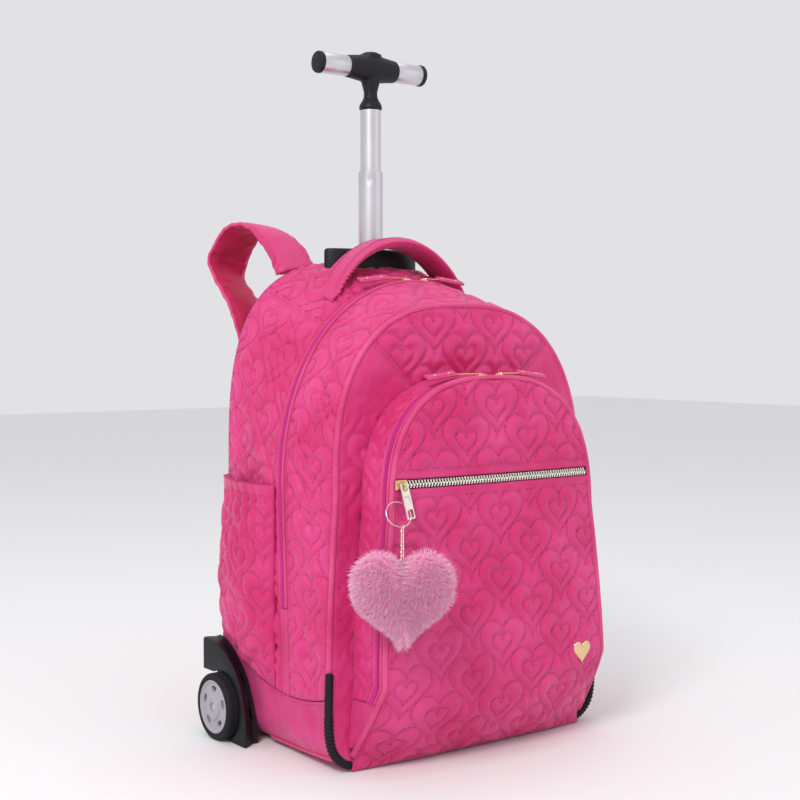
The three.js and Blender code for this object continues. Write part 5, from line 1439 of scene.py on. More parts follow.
# Metal zip across the pocket: two rows of teeth on a dark tape, meeting in a herringbone.
band_share, band_z = np.meshgrid(np.linspace(-1, 1, 81), zip_height + np.linspace(-zip_half, zip_half, 5))
band_x, band_y = pocket_half(band_z, face_inset) * band_share, face_depth(band_share, band_z) + 0.4
band_grid = np.stack([band_x, band_y, band_z], axis=-1)
tape_paint = cloth("metal_zip_tape", linear(74, 10, 44), linear(52, 4, 30), 0.7, 0.7, 0.1, painted_groove_shade=False)
band_tape = sewn_panel("metal_zipper_tape", band_grid, band_grid + [0, 2.4, 0], tape_paint,
                       band_grid[..., [0, 2]], 0 * band_z)
dress(band_tape, "metal_zipper")
for height, paint, label in ((1.55, silver, "upper"), (-1.55, silver, "lower")):
    tooth_points, tooth_faces = rounded_block((1.7, 4.2, 1.6), (0, 0, 0.35), 0.3, 1)
    tooth = solid_mesh("tooth", tooth_points, tooth_faces, paint)
    line = face_grid(np.array([zip_height + height]), 400)[0]
    line = even(line, round(run_length(line) / 1.6))[3:-3]
    line = line[(0 if height > 0 else 1)::2]
    slant = 0.42 if height > 0 else -0.42
    along = np.gradient(line, axis=0)
    along = along / np.linalg.norm(along, axis=1, keepdims=True)
    facing = np.cross(along, [0, 0, 1.0])
    along = along + np.array([0, 0, slant])
    row = set_out("metal_zipper_" + label, tooth, line + facing * 0.2, along, facing, paint)
    bpy.data.objects.remove(tooth)
    add_piece(row)


# Slider, puller and split ring of the metal zip.
slider_x = 19.0 - pocket_arch["foot"]
slider_front = node_box("metal_zip_slider")[1][1]
slider_parts = [rounded_block((12, 2.6, 9), (slider_x, slider_front - 1.3, zip_height), 1.0),
                rounded_block((7.5, 2.0, 7.0), (slider_x, slider_front - 2.4, zip_height), 0.8),
                rounded_block((2, 6.4, 1.4), (slider_x, slider_front - 5.2, zip_height + 3.3), 0.5),
                rounded_block((2, 6.4, 1.4), (slider_x, slider_front - 5.2, zip_height - 3.6), 0.5),
                rounded_block((2, 1.3, 8.3), (slider_x, slider_front - 8.4, zip_height - 0.15), 0.5)]
dress(gathered("metal_zip_slider_metal", slider_parts, pale_gold), "metal_zip_slider")

puller_length = 33.0
puller_width = 9.0
puller_swing = 0.16
puller_lean = 0.16
puller_eye = puller_length - 5.2
puller_block = rounded_block((puller_width, 1.3, puller_length), (0, 0, -puller_length / 2), 0.55, 3)
puller = gathered("metal_zip_puller_metal", [puller_block], silver)
puller = carved(puller, [rounded_block((4.6, 4, 5.4), (0, 0, -4.8), 0.9),
                         rounded_block((6, 4, 7.4), (0, 0, -puller_eye), 1.4),
                         rounded_block((5.2, 0.5, 8), (0, -0.72, -15.5), 0.2)])


def rotation(axis, angle):
    """The matrix that turns a place by angle about x, y or z, given as 0, 1 or 2."""
    turned_by = np.eye(3)
    a, b = (axis + 1) % 3, (axis + 2) % 3
    turned_by[a, a] = turned_by[b, b] = math.cos(angle)
    turned_by[b, a] = math.sin(angle)
    turned_by[a, b] = -math.sin(angle)
    return turned_by


puller_turn = rotation(0, -puller_swing) @ rotation(1, -puller_lean)
puller_place = np.array([slider_x, slider_front - 5.2, zip_height + 2.2])
for vertex in puller.data.vertices:
    vertex.co = Vector((puller_turn @ (np.array(vertex.co) / MM) + puller_place) * MM)
dress(puller, "metal_zip_puller")

ring_low, ring_high = node_box("key_ring")
ring_centre = (ring_low + ring_high) / 2
ring_turn, ring_tilt = 0.15, 0.5
ring_radius = 12.0
turn = np.linspace(0, 4 * math.pi, 97)
coil_pitch = 0.42
flat = np.stack([ring_radius * np.cos(turn), ring_radius * np.sin(turn),
                 np.linspace(-coil_pitch, coil_pitch, 97)], axis=1)
ring_pose = rotation(2, -ring_turn) @ rotation(0, math.pi / 2 - ring_tilt)
ring_run = {"line": flat @ ring_pose.T + ring_centre, "radius": 0.5, "sides": 8}
dress(cords("key_ring_metal", [ring_run], silver), "key_ring")


# Heart badge: a small domed plate of polished metal.
badge_low, badge_high = node_box("heart_badge")
badge_centre = (badge_low + badge_high) / 2
badge_outline = heart_line(22.0, 22.0, 64)
badge_rings = [(0.0, 1.0), (-0.9, 1.0), (-1.7, 0.985), (-2.2, 0.94), (-2.45, 0.84), (-2.7, 0.6), (-2.85, 0.3),
               (-2.9, 0.06)]
badge_points = [[badge_centre[0] + x * share, badge_high[1] + rise, badge_centre[2] + z * share]
                for rise, share in badge_rings for x, z in badge_outline]
badge_faces = ring_faces(len(badge_rings), len(badge_outline))
badge = gathered("heart_badge_metal", [(badge_points, badge_faces)], pale_gold, crease=50)
dress(badge, "heart_badge")


# Carry handle: a padded arch over the bag's top, flat at its sewn feet, edged with a twisted cord.
pole_depth = bag_back - 32.0
handle_depth = pole_depth - 38.0
handle_reach = 88.0
handle_lift = 29.0
handle_sink = 3.0
handle_width = 39.0
handle_thickness = 11.0


def top_surface(x, y):
    """Height of the bag's top between the back seam and the main zip."""
    rear = np.clip((bag_back - y) / (bag_back - depth_at(arches["zip"], bag_height * 0.95) - zip_edge), 0, 1)
    low, high = arch_between(arches["back"], arches["back"], 0), arch_between(arches["zip"], arches["zip"], 0)

    def height(arch):
        share = np.clip(np.abs(x) / arch["waist"], 0, 1)
        rise = (1 - share ** arch["power"]) ** (1 / arch["power"])
        return arch["spring"] + (arch["crown"] - arch["spring"]) * rise

    return height(low) + (height(high) - height(low)) * rear


def handle_under(x):
    share = np.minimum(1, np.abs(x) / (handle_reach * 0.9))
    return top_surface(x, handle_depth) - handle_sink + (handle_lift + handle_sink) * (1 - share ** 2) ** 0.8


def handle_top(x):
    share = np.abs(x) / handle_reach
    return handle_under(x) + handle_thickness * (1 - 0.6 * share ** 4)


handle_x = np.linspace(-handle_reach, handle_reach, 113)
turn = full_turn(32)
across = np.sign(np.cos(turn)) * np.abs(np.cos(turn)) ** 0.55 * 0.5
up = 0.5 + np.sign(np.sin(turn)) * np.abs(np.sin(turn)) ** 0.75 * 0.5
handle_grid = np.empty((len(handle_x), len(turn), 3))
handle_grid[..., 0] = handle_x[:, None]
handle_grid[..., 1] = handle_depth + across[None] * handle_width
low, high = handle_under(handle_x), handle_top(handle_x)
groove = 0.9 * np.exp(-((np.abs(across) * handle_width - 11.5) / 1.4) ** 2) * (up > 0.5)
handle_grid[..., 2] = low[:, None] + (high - low)[:, None] * up[None] - groove[None]
ribs = 0.5 * np.cos(handle_x / 4.2 * 2 * math.pi)[:, None] * (up < 0.4)[None] * (np.abs(across) < 0.38)[None]
handle_grid[..., 2] += ribs * np.clip((handle_reach - 30 - np.abs(handle_x)) / 10, 0, 1)[:, None]
seat = top_surface(handle_grid[..., 0], handle_grid[..., 1]) + top_puff
handle_grid[..., 2] = np.maximum(handle_grid[..., 2], seat + 3.6 * np.clip(up, 0, 1)[None])
handle_run = distances(handle_grid[:, 8])
handle_uv = np.stack(np.broadcast_arrays(handle_run[:, None], np.arange(len(turn))[None] * 2.8), axis=-1)
handle = solid_mesh("carry_handle_cloth", handle_grid.reshape(-1, 3), ring_faces(len(handle_x), len(turn)),
                    plain_cloth, handle_uv.reshape(-1, 2))
dress(handle, "carry_handle")
edge_runs = []
for side in (-1, 1):
    x = np.linspace(-handle_reach + 1, handle_reach - 1, 700)
    y = np.full(len(x), handle_depth + side * (handle_width / 2 - 0.6))
    z = handle_under(x) + (handle_top(x) - handle_under(x)) * 0.55
    z = np.maximum(z, top_surface(x, y) + 2.6)
    centre = np.stack([x, y, z], axis=1)
    for start in (0, math.pi):
        twist = x / 5.6 * 2 * math.pi + start
        strand = centre + np.stack([0 * x, 1.1 * np.cos(twist), 1.1 * np.sin(twist)], axis=1)
        edge_runs.append({"line": strand[::2], "radius": 1.25, "sides": 6})
    for offset in (9.4, 13.0):
        y = np.full(160, handle_depth + side * offset)
        x = np.linspace(-handle_reach + 4, handle_reach - 4, 160)
        z = handle_top(x) - 0.15 - 0.5 * (offset / 17) ** 6 * 3
        z = np.maximum(z, top_surface(x, y) + 4.0)
        stitch_points(np.stack([x, y, z], axis=1), np.tile([0, 0, 1.0], (160, 1)), stitch_pitch, seam_runs)
handle_edge = cords("carry_handle_edge", edge_runs, piping_cloth)
add_piece(handle_edge)


# Shoulder straps: padded bands, smooth outside and gathered on their lining, bound at the edges,
# each with webbing and a black slider at its lower end. Columns are shares of reach, rise, width
# and drop, with the tilt of the band.
strap_width = 44.0
strap_thickness = 7.0
strap_reach = 96.0
strap_rise = 54.0
strap_root = 68.0
strap_drop = 256.0
strap_top = bag_height - 8.0
back_face = bag_back + 0.3 + quilt_wall
strap_routes = {
    "left": [(0.03, 0.0, 0.0, 0, -0.2), (0.17, 0.42, 0.12, 0, -0.05), (0.36, 0.78, 0.34, 0, 0.1),
             (0.6, 0.84, 0.58, 0, 0.1), (0.8, 0.5, 0.72, 0, 0.1), (0.9, 0.06, 0.8, 0, 0.35),
             (0.68, 0, 0.86, 0.06, 0.3), (0.38, 0, 0.84, 0.16, 0.15), (0.22, 0, 0.76, 0.3, 0),
             (0.17, 0, 0.7, 0.62, 0), (0.16, 0, 0.66, 1, 0)],
    "right": [(0.06, -0.12, 0.0, 0, 0), (0.18, -0.06, 0.04, 0, 0), (0.27, -0.2, 0.12, 0.02, 0),
              (0.27, -0.2, 0.26, 0.14, 0), (0.2, -0.2, 0.44, 0.36, 0), (0.17, -0.1, 0.6, 0.7, 0),
              (0.16, 0, 0.66, 1, 0)],
}
for name, side in (("left", -1), ("right", 1)):
    route = np.array(strap_routes[name])
    back, up, out, drop, lean = route.T
    centres = np.stack([side * (strap_root + out * strap_width), back_face + back * strap_reach,
                        strap_top + up * strap_rise - drop * strap_drop], axis=1)
    centres = even(curve_through(np.concatenate([centres, lean[:, None] * 30], axis=1), 400), 201)
    lean = centres[:, 3] / 30
    centres = centres[:, :3]
    way = np.stack([np.full(len(lean), -side), 0 * lean, -lean], axis=1)
    way = way / np.linalg.norm(way, axis=1, keepdims=True)
    share = np.linspace(-1, 1, 25)
    middle = centres[:, None] + way[:, None] * share[None, :, None] * strap_width / 2
    lift = grid_normals(middle)
    outward = 1 if lift[40, 12][1] + lift[40, 12][2] > 0 else -1
    lift = lift * outward
    run = np.linspace(0, run_length(centres), len(centres))[:, None]
    pillow = (1 - np.abs(share) ** 5)[None] * strap_thickness / 2 + 0.3
    top_slack = 0.35 * soft_noise(run, share[None] * 22, 24, 91)
    gather = 1.6 * soft_noise(run, share[None] * 6, 4.5, 93) * (0.3 + np.abs(share) ** 2)[None]
    gather = gather + 1.4 * soft_noise(run + share[None] * 12, share[None] * 22, 13, 94)
    seam = 0.8 * np.exp(-((np.abs(share) - 0.82) / 0.05) ** 2)[None]
    outer = middle + lift * (pillow + top_slack - seam)[..., None]
    inner = middle - lift * (pillow - 0.4 + gather)[..., None]
    outer[..., 1] = np.maximum(outer[..., 1], back_face + 0.5)
    inner[..., 1] = np.maximum(inner[..., 1], back_face + 0.4)
    place = np.stack(np.broadcast_arrays(share[None] * strap_width / 2, run), axis=-1)
    shade = np.clip(-gather * 0.4, 0, 1) + np.exp(-((np.abs(share) - 0.95) / 0.05) ** 2)[None]
    strap = sewn_panel(f"shoulder_strap_{name}_cloth", outer, inner, strap_face, place, shade, coarse=1,
                       lining=lining_cloth)
    dress(strap, f"shoulder_strap_{name}")
    bindings = []
    for end in (0, -1):
        line = (outer[:, end] + inner[:, end]) / 2
        along = run[:, 0]
        waver = np.stack([0 * along, soft_noise(along, 0, 3, 95), soft_noise(along, 9, 3, 96)], axis=1)
        line = line + 0.5 * waver
        line[:, 1] = np.maximum(line[:, 1], back_face + 2.2)
        bindings.append({"line": line, "radius": 1.9, "sides": 8})
        column = 2.2 if end == 0 else 21.8
        seam_along(outer, np.linspace(3, 197, 200), np.full(200, column), face=outward)
    binding = cords(f"shoulder_strap_{name}_binding", bindings, piping_cloth)
    add_piece(binding)

    bar_x = side * (strap_root + 0.66 * strap_width)
    bar_y = back_face + 0.16 * strap_reach
    bar_z = strap_top - strap_drop - 11.0
    bar_block = rounded_block((33, 5, 20), (bar_x, bar_y, bar_z), 1.4, 3)
    slots = [rounded_block((27, 8, 4), (bar_x, bar_y, bar_z + lift), 0.8) for lift in (-5, 4)]
    bar = carved(gathered(f"strap_buckle_{name}_plastic", [bar_block], black_plastic), slots)
    dress(bar, f"strap_buckle_{name}")
    drop_share = np.linspace(0, 1, 61)[:, None]
    weave_x = np.linspace(-12.5, 12.5, 13)[None]
    low_y = back_face + 1.5
    tape = np.stack(np.broadcast_arrays(bar_x + weave_x, bar_y + (low_y - bar_y) * drop_share ** 2,
                                        bar_z - 10.4 + (62 - bar_z + 10.4) * drop_share), axis=-1)
    ridge = 0.25 * np.cos(weave_x / 2.1 * math.pi) + 0 * drop_share
    tape_uv = np.stack(np.broadcast_arrays(weave_x, drop_share * 150), axis=-1)
    ribbed = tape + np.stack([0 * ridge, 0.9 + ridge, 0 * ridge], axis=-1)
    webbing = sewn_panel(f"strap_webbing_{name}_cloth", ribbed, tape - [0, 0.9, 0], webbing_cloth, tape_uv,
                         0 * ridge)
    dress(webbing, f"strap_webbing_{name}")


# Pull pole: three aluminium tubes in a black collar and foot, the middle one crimped in two
# places at its top end.
tube_wall = 1.5


def pipe(name, radius, node, body, crimps=False):
    low, high = (float(v) for v in (node_box(node)[0][2], node_box(node)[1][2]))
    heights = np.concatenate([[low], np.linspace(low + 0.4, high - 0.4, 90 if crimps else 12), [high]])
    outline = [(radius - 0.35, low)] + [(radius, z) for z in heights[1:-1]] + [(radius - 0.35, high)]
    outline += [(radius - tube_wall, high), (radius - tube_wall, low)]
    points, faces = turned_parts(outline, 48, 2, (0, pole_depth, 0), closed=True)
    if crimps:
        for bearing in (-2.2, 0.94):
            angle = np.arctan2(points[:, 1] - pole_depth, points[:, 0])
            around = (np.angle(np.exp(1j * (angle - bearing)))) * radius
            reach = (around / 3.6) ** 2 + ((points[:, 2] - (high - 9)) / 2.4) ** 2
            outer = np.hypot(points[:, 0], points[:, 1] - pole_depth) > radius - 0.6
            shrink = 1 - 0.75 / radius * np.exp(-reach ** 2) * outer
            points[:, 0] *= shrink
            points[:, 1] = pole_depth + (points[:, 1] - pole_depth) * shrink
    made = solid_mesh(name, points, faces, aluminium, points[:, [0, 2]])
    made.data.set_sharp_from_angle(angle=math.radians(40))
    return dress(made, node, body)


pipe("pole_outer_metal", 14.5, "pole_outer_tube", "root")
pipe("pole_mid_metal", 12.7, "pole_mid_tube", "mid_pole", crimps=True)
pipe("pole_inner_metal", 10.7, "pole_inner_tube", "inner_pole")

foot_z = float(node_box("pole_foot")[0][2])
foot_outline = [(0.01, 7), (14.8, 7), (14.8, 26), (18.0, 26), (18.5, 25.4), (23.6, 5.6), (24.0, 4.6),
                (24.0, 0.6), (23.4, 0), (0.01, 0)]
foot = turned("pole_foot_plastic", foot_outline, 48, 2, (0, pole_depth, foot_z), black_plastic)
dress(foot, "pole_foot")

collar_top = float(node_box("pole_collar")[1][2])
turn = full_turn(96)
profile = [(0.0, -30.0), (0.0, -3.2), (-0.5, -1.6), (-1.5, -0.5), (-3.0, -0.05), (-4.6, 0.0)]
rings = []
for inward, rise in profile:
    x, y = (57 + inward) * np.cos(turn), pole_depth + (17 + inward) * np.sin(turn)
    z = np.maximum(collar_top + rise, top_surface(x, y) + 0.4)
    rings.append(np.stack([x, y, z], axis=1))
hole_x, hole_y = 14.9 * np.cos(turn), pole_depth + 14.9 * np.sin(turn)
wide_y = pole_depth + (hole_y - pole_depth) * 1.04
rings.append(np.stack([hole_x * 1.04, wide_y, np.full(96, collar_top - 0.1)], axis=1))
rings.append(np.stack([hole_x, hole_y, np.full(96, collar_top - 0.6)], axis=1))
rings.append(np.stack([hole_x, hole_y, top_surface(hole_x, hole_y) + 0.4], axis=1))
collar = (np.concatenate(rings), ring_faces(len(rings), len(turn), closed=True))
dress(gathered("pole_collar_plastic", [collar], black_plastic), "pole_collar")


# T-grip: a moulded core on a waisted neck, with a push button on top, metal sleeves and caps.
grip_low, grip_high = node_box("grip_core")
core_radius = 14.5
grip_z = float(grip_high[2]) - core_radius - 0.4
neck_z = float(grip_low[2])
neck = [(0.01, neck_z), (11.6, neck_z), (12.2, neck_z + 0.8), (11.4, neck_z + 5), (8.6, neck_z + 9.5),
        (7.1, neck_z + 13), (7.0, neck_z + 18), (8.0, neck_z + 22), (10.2, grip_z - 12), (11.4, grip_z - 7),
        (11.4, grip_z), (0.01, grip_z)]
core = [(0.01, -30), (10.8, -30), (11.3, -29.2), (12.0, -23), (13.3, -13), (14.2, -6), (14.5, 0)]
core = core + [(r, -x) for r, x in core[-2::-1]]
button_top = float(node_box("grip_button")[1][2])
boss = [(0.01, grip_z), (11.5, grip_z), (11.5, grip_z + 14.3), (11.0, grip_z + 14.8), (0.01, grip_z + 14.8)]
grip = gathered("grip_core_plastic", [turned_parts(neck, 40, 2, (0, pole_depth, 0)),
                                      turned_parts(core, 40, 0, (0, pole_depth, grip_z)),
                                      turned_parts(boss, 40, 2, (0, pole_depth, 0))], black_plastic)
blend = grip.modifiers.new("mould", "REMESH")
blend.mode = "VOXEL"
blend.voxel_size = 0.85 * MM
soften = grip.modifiers.new("soften", "SMOOTH")
soften.iterations = 5
soften.factor = 0.5
grip = grown(grip, "grip_core_plastic")
button_place = (0, pole_depth, button_top)
button_hole = [(0.01, -16.6), (8.9, -16.6), (8.9, 5), (0.01, 5)]
grip = carved(grip, [turned_parts(button_hole, 40, 2, button_place)], crease=40)
dress(grip, "grip_core", "inner_pole")
button = [(0.01, -12), (8.5, -12), (8.5, -2), (7.9, -0.9), (6.4, -0.35), (3.0, -0.02), (0.01, 0)]
button = turned("grip_button_plastic", button, 48, 2, button_place, button_plastic)
dress(button, "grip_button", "button")
grip_place = (0, pole_depth, grip_z)
for name, side in (("left", -1), ("right", 1)):
    sleeve = [(0.01, 30.3), (10.2, 30.3), (10.5, 30.8), (10.5, 61.2), (10.2, 61.7), (0.01, 61.7)]
    made = turned(f"grip_sleeve_{name}_metal", sleeve, 48, 0, grip_place, aluminium, side=side)
    dress(made, f"grip_sleeve_{name}", "inner_pole")
    cap = [(0.01, 62), (10.8, 62), (11.1, 62.4), (11.1, 65.2), (10.4, 66.4), (9.0, 67.0), (4.0, 67.2),
           (0.01, 67.2)]
    made = turned(f"grip_cap_{name}_plastic", cap, 48, 0, grip_place, black_plastic, side=side)
    dress(made, f"grip_cap_{name}", "inner_pole")


# Wheels: a rubber tyre on a grey hub with five oval holes and a raised middle, in a black housing.
wheel_radius = 32.5
wheel_half = 12.0
hub_radius = 26.0
wheel_depth = back_face - 36.0
wheel_offset = bag_half + 17.0
housing_seat = float(node_box("wheel_housing_right")[0][0])
for name, side in (("left", -1), ("right", 1)):
    centre = (side * wheel_offset, wheel_depth, wheel_radius)
    tyre = [(hub_radius + 0.3, -12), (30.0, -12), (31.4, -11.4), (32.3, -10), (32.5, -8.4), (32.5, -5.4),
            (32.0, -5.0), (32.0, -4.4), (32.5, -4.0), (32.5, 4.0), (32.0, 4.4), (32.0, 5.0), (32.5, 5.4),
            (32.5, 8.4), (32.3, 10), (31.4, 11.4), (30.0, 12), (28.2, 12), (27.8, 11.6), (27.4, 12),
            (hub_radius + 0.3, 12)]
    made = turned(f"tyre_{name}_rubber", tyre, 72, 0, centre, tyre_rubber, closed=True, side=side)
    dress(made, f"tyre_{name}", f"wheel_{name}")
    hub = [(4.3, -12), (9, -12), (9, 7), (23, 7), (23, -12), (26, -12), (26, 11.4), (25.4, 12), (24.2, 12),
           (23.4, 11.2), (22.4, 10.4), (14.4, 10.6), (12.6, 11.2), (12.0, 12.6), (11.2, 13), (7.0, 13),
           (6.4, 12.4), (4.3, 12.4)]
    made = turned(f"hub_{name}_plastic", hub, 72, 0, centre, hub_plastic, closed=True, side=side)
    holes = []
    for i in range(5):
        angle = 2 * math.pi * i / 5
        oval = full_turn(24)
        y = 4.6 * np.cos(oval)
        z = 17.8 + 2.9 * np.sin(oval)
        hole_y = y * math.cos(angle) - z * math.sin(angle)
        hole_z = y * math.sin(angle) + z * math.cos(angle)
        points = [(centre[0] + side * x, centre[1] + a, centre[2] + b)
                  for x in (4, 16) for a, b in zip(hole_y, hole_z)]
        holes.append((points, ring_faces(2, 24)))
    made = carved(made, holes)
    dress(made, f"hub_{name}", f"wheel_{name}")

    rows = [(0.0, 73.0, 94.0, 1.8), (0.25, 72.0, 93.0, 1.85), (0.5, 75.5, 93.6, 2.05),
            (0.75, 79.0, 94.0, 2.2), (0.9, 81.0, 94.0, 2.3), (0.96, 80.6, 93.6, 2.3), (1.0, 79.0, 92.0, 2.3)]
    rings = []
    for place, reach, height, power in rows:
        angle = np.linspace(0, math.pi / 2, 40)
        y = back_face - reach * np.sin(angle) ** (2 / power)
        z = np.maximum(0.6, height * np.cos(angle) ** (2 / power))
        outline = np.concatenate([[[back_face, 0.6]], np.stack([y, z], axis=1)])
        out = np.full(len(outline), side * (housing_seat + 19 * place))
        rings.append(np.stack([out, outline[:, 0], outline[:, 1]], axis=1))
    shell = (np.concatenate(rings), ring_faces(len(rings), len(outline)))
    made = gathered(f"wheel_housing_{name}_plastic", [shell], black_plastic)
    well_start = side * (wheel_offset - wheel_half - 1.4)
    well_end = well_start + side * 38
    well = [(0.01, well_start), (34.5, well_start), (34.5, well_end), (0.01, well_end)]
    made = carved(made, [turned_parts(well, 72, 0, (0, wheel_depth, wheel_radius))])
    opening = ((well_start + well_end) / 2, wheel_depth + 30, wheel_radius - 4)
    made = carved(made, [rounded_block((38, 60, 69), opening, 0.2, 1)])
    dress(made, f"wheel_housing_{name}")
    axle_start, axle_end = housing_seat + 1, wheel_offset + 11
    axle = [(0.01, axle_start), (4.0, axle_start), (4.0, axle_end - 0.6), (3.4, axle_end), (0.01, axle_end)]
    pin = turned(f"wheel_axle_{name}", axle, 32, 0, (0, wheel_depth, wheel_radius), aluminium, side=side)
    add_piece(pin)


# Chain and the eye it hangs from: oval wire links, each turned a quarter from the last.
fur_height = 88.0
fur_place = (-19.0, -25.0, -97.0)
chain_top = ring_centre + [0, -ring_radius * math.sin(ring_tilt), -ring_radius * math.cos(ring_tilt)]
eye_radius = 2.6
fur_centre = np.array([slider_x, pocket_front, zip_height]) + fur_place
fur_notch = fur_height * 0.26
chain_foot = fur_centre + [0, 0, fur_notch + 4.0 + 2 * eye_radius]
chain_way = chain_foot - chain_top
chain_length = np.linalg.norm(chain_way)
chain_way = chain_way / chain_length
link_count = 11
link_wire = 0.5
link_lead = 1.1
link_play = 0.3
link_pitch = (chain_length + link_lead + 2 * link_play) / link_count
link_inside = link_pitch - link_play
link_width = 3.8
chain_side = np.cross(chain_way, [0, 1.0, 0])
chain_side = chain_side / np.linalg.norm(chain_side)
chain_fore = np.cross(chain_way, chain_side)
chain_runs = []
for i in range(link_count):
    centre = chain_top + chain_way * (link_inside / 2 - link_lead + i * link_pitch)
    turn = full_turn(32)
    bend = link_width / 2 - link_wire
    stretch = link_inside / 2 + link_wire - bend
    along = bend * np.sin(turn) + stretch * np.sign(np.sin(turn)) * (np.abs(np.sin(turn)) > 0.1)
    wide = chain_fore if i % 2 == 0 else chain_side
    line = centre + np.outer(along, chain_way) + np.outer(bend * np.cos(turn), wide)
    chain_runs.append({"line": line, "radius": link_wire, "sides": 8, "closed": True})
turn = full_turn(32)
eye_middle = chain_foot - [0, 0, eye_radius]
eye = eye_middle + np.stack([eye_radius * np.cos(turn), 0 * turn, eye_radius * np.sin(turn)], axis=1)
chain_runs.append({"line": eye, "radius": 0.6, "sides": 8, "closed": True})
stem = np.array([chain_foot - [0, 0, 2 * eye_radius], fur_centre + [0, 0, fur_notch - 2]])
chain_runs.append({"line": even(stem, 6), "radius": 0.9, "sides": 8})
dress(cords("key_chain_metal", chain_runs, silver), "key_chain")


# Fur heart: a stuffed heart under long soft pile, combed downwards, in several pinks.
fur_width = 93.0
fur_thickness = 40.0
fur_turn = 0.56
fur_pile = 8.5


def fur_finish(name, light, dark):
    paint = bpy.data.materials.new(name)
    paint.use_nodes = True
    tree = paint.node_tree
    shader = tree.nodes["Principled BSDF"]
    place = tree.nodes.new("ShaderNodeTexCoord")
    tint = tree.nodes.new("ShaderNodeGroup")
    tint.node_tree = clouds
    tint.inputs["Scale"].default_value = 260
    tint.inputs["Light"].default_value = light
    tint.inputs["Dark"].default_value = dark
    tree.links.new(place.outputs["Object"], tint.inputs["Place"])
    tree.links.new(tint.outputs["Color"], shader.inputs["Base Color"])
    shader.inputs["Roughness"].default_value = 0.8
    shader.inputs["Specular IOR Level"].default_value = 0.1
    shader.inputs["Sheen Weight"].default_value = 0.5
    shader.inputs["Sheen Tint"].default_value = (1.0, 0.6, 0.8, 1)
    return paint


fur_paint = fur_finish("fur_pile", linear(255, 214, 234), linear(255, 172, 212))
fur_root_paint = fur_finish("fur_roots", linear(255, 176, 212), linear(255, 150, 196))
fur_rows = []
turn = full_turn(72)
heart_x, heart_z = heart_shape(turn)
heart_x = heart_x * (1 + 0.18 * np.sin(math.pi * np.clip((0.15 - heart_z) / 0.65, 0, 1)))
for angle in np.linspace(-math.pi / 2 * 0.96, math.pi / 2 * 0.96, 25):
    spread = math.cos(angle) ** 0.8
    shrink = 1 - fur_pile * 0.55 / (fur_width / 2)
    swell = -(fur_thickness / 2 - fur_pile * 0.5) * math.sin(angle)
    fur_rows.append(np.stack([heart_x * fur_width * spread * shrink, np.full(72, swell),
                              heart_z * fur_height * spread * shrink], axis=1))
points = np.concatenate(fur_rows)
turned_x = points[:, 0] * math.cos(fur_turn) + points[:, 1] * math.sin(fur_turn)
turned_y = -points[:, 0] * math.sin(fur_turn) + points[:, 1] * math.cos(fur_turn)
points = np.stack([turned_x, turned_y, points[:, 2]], axis=1) + fur_centre
fur_faces = ring_faces(len(fur_rows), len(turn))
fur_core = solid_mesh("fur_heart_core", points, fur_faces, fur_root_paint, points[:, [0, 2]])
dress(fur_core, "fur_heart")


def strand_mesh():
    """A tapered, slightly bowed hair along Z, three-sided."""
    points, faces = [], []
    for rise, bow, radius in ((0, 0, 0.34), (0.35, 0.05, 0.32), (0.7, 0.16, 0.22)):
        for angle in full_turn(3):
            points.append((radius * math.cos(angle), bow * fur_pile + radius * math.sin(angle),
                           rise * fur_pile))
    points.append((0, 0.33 * fur_pile, fur_pile))
    for k in range(2):
        for side in range(3):
            after = (side + 1) % 3
            faces.append([3 * k + side, 3 * k + after, 3 * k + 3 + after, 3 * k + 3 + side])
    faces += [[6 + side, 6 + (side + 1) % 3, 9] for side in range(3)]
    return solid_mesh("strand", points, faces, fur_paint)


def pile_tree():
    tree, given, place = copies_tree("pile_on_a_skin", [("Skin", "NodeSocketGeometry", None),
                                                        ("Density", "NodeSocketFloat", None),
                                                        ("Seed", "NodeSocketInt", None),
                                                        ("Droop", "NodeSocketFloat", None)])
    scatter = tree.nodes.new("GeometryNodeDistributePointsOnFaces")
    tree.links.new(given.outputs["Skin"], scatter.inputs["Mesh"])
    tree.links.new(given.outputs["Density"], scatter.inputs["Density"])
    tree.links.new(given.outputs["Seed"], scatter.inputs["Seed"])
    down = tree.nodes.new("ShaderNodeCombineXYZ")
    tree.links.new(maths(tree, "MULTIPLY", given.outputs["Droop"], -1), down.inputs[2])
    wild = tree.nodes.new("FunctionNodeRandomValue")
    wild.data_type = "FLOAT_VECTOR"
    wild.inputs["Min"].default_value = (-0.4, -0.4, -0.4)
    wild.inputs["Max"].default_value = (0.4, 0.4, 0.4)
    wild.inputs["Seed"].default_value = 3
    way = scatter.outputs["Normal"]
    for pull in (down, wild):
        lean = tree.nodes.new("ShaderNodeVectorMath")
        lean.operation = "ADD"
        tree.links.new(way, lean.inputs[0])
        tree.links.new(pull.outputs[0], lean.inputs[1])
        way = lean.outputs[0]
    turn = tree.nodes.new("FunctionNodeAlignRotationToVector")
    turn.axis = "Z"
    tree.links.new(way, turn.inputs["Vector"])
    size = tree.nodes.new("FunctionNodeRandomValue")
    size.data_type = "FLOAT"
    size.inputs[2].default_value = 0.62
    size.inputs[3].default_value = 1.0
    size.inputs["Seed"].default_value = 5
    tree.links.new(scatter.outputs["Points"], place.inputs["Points"])
    tree.links.new(turn.outputs["Rotation"], place.inputs["Rotation"])
    tree.links.new(size.outputs[1], place.inputs["Scale"])
    return tree


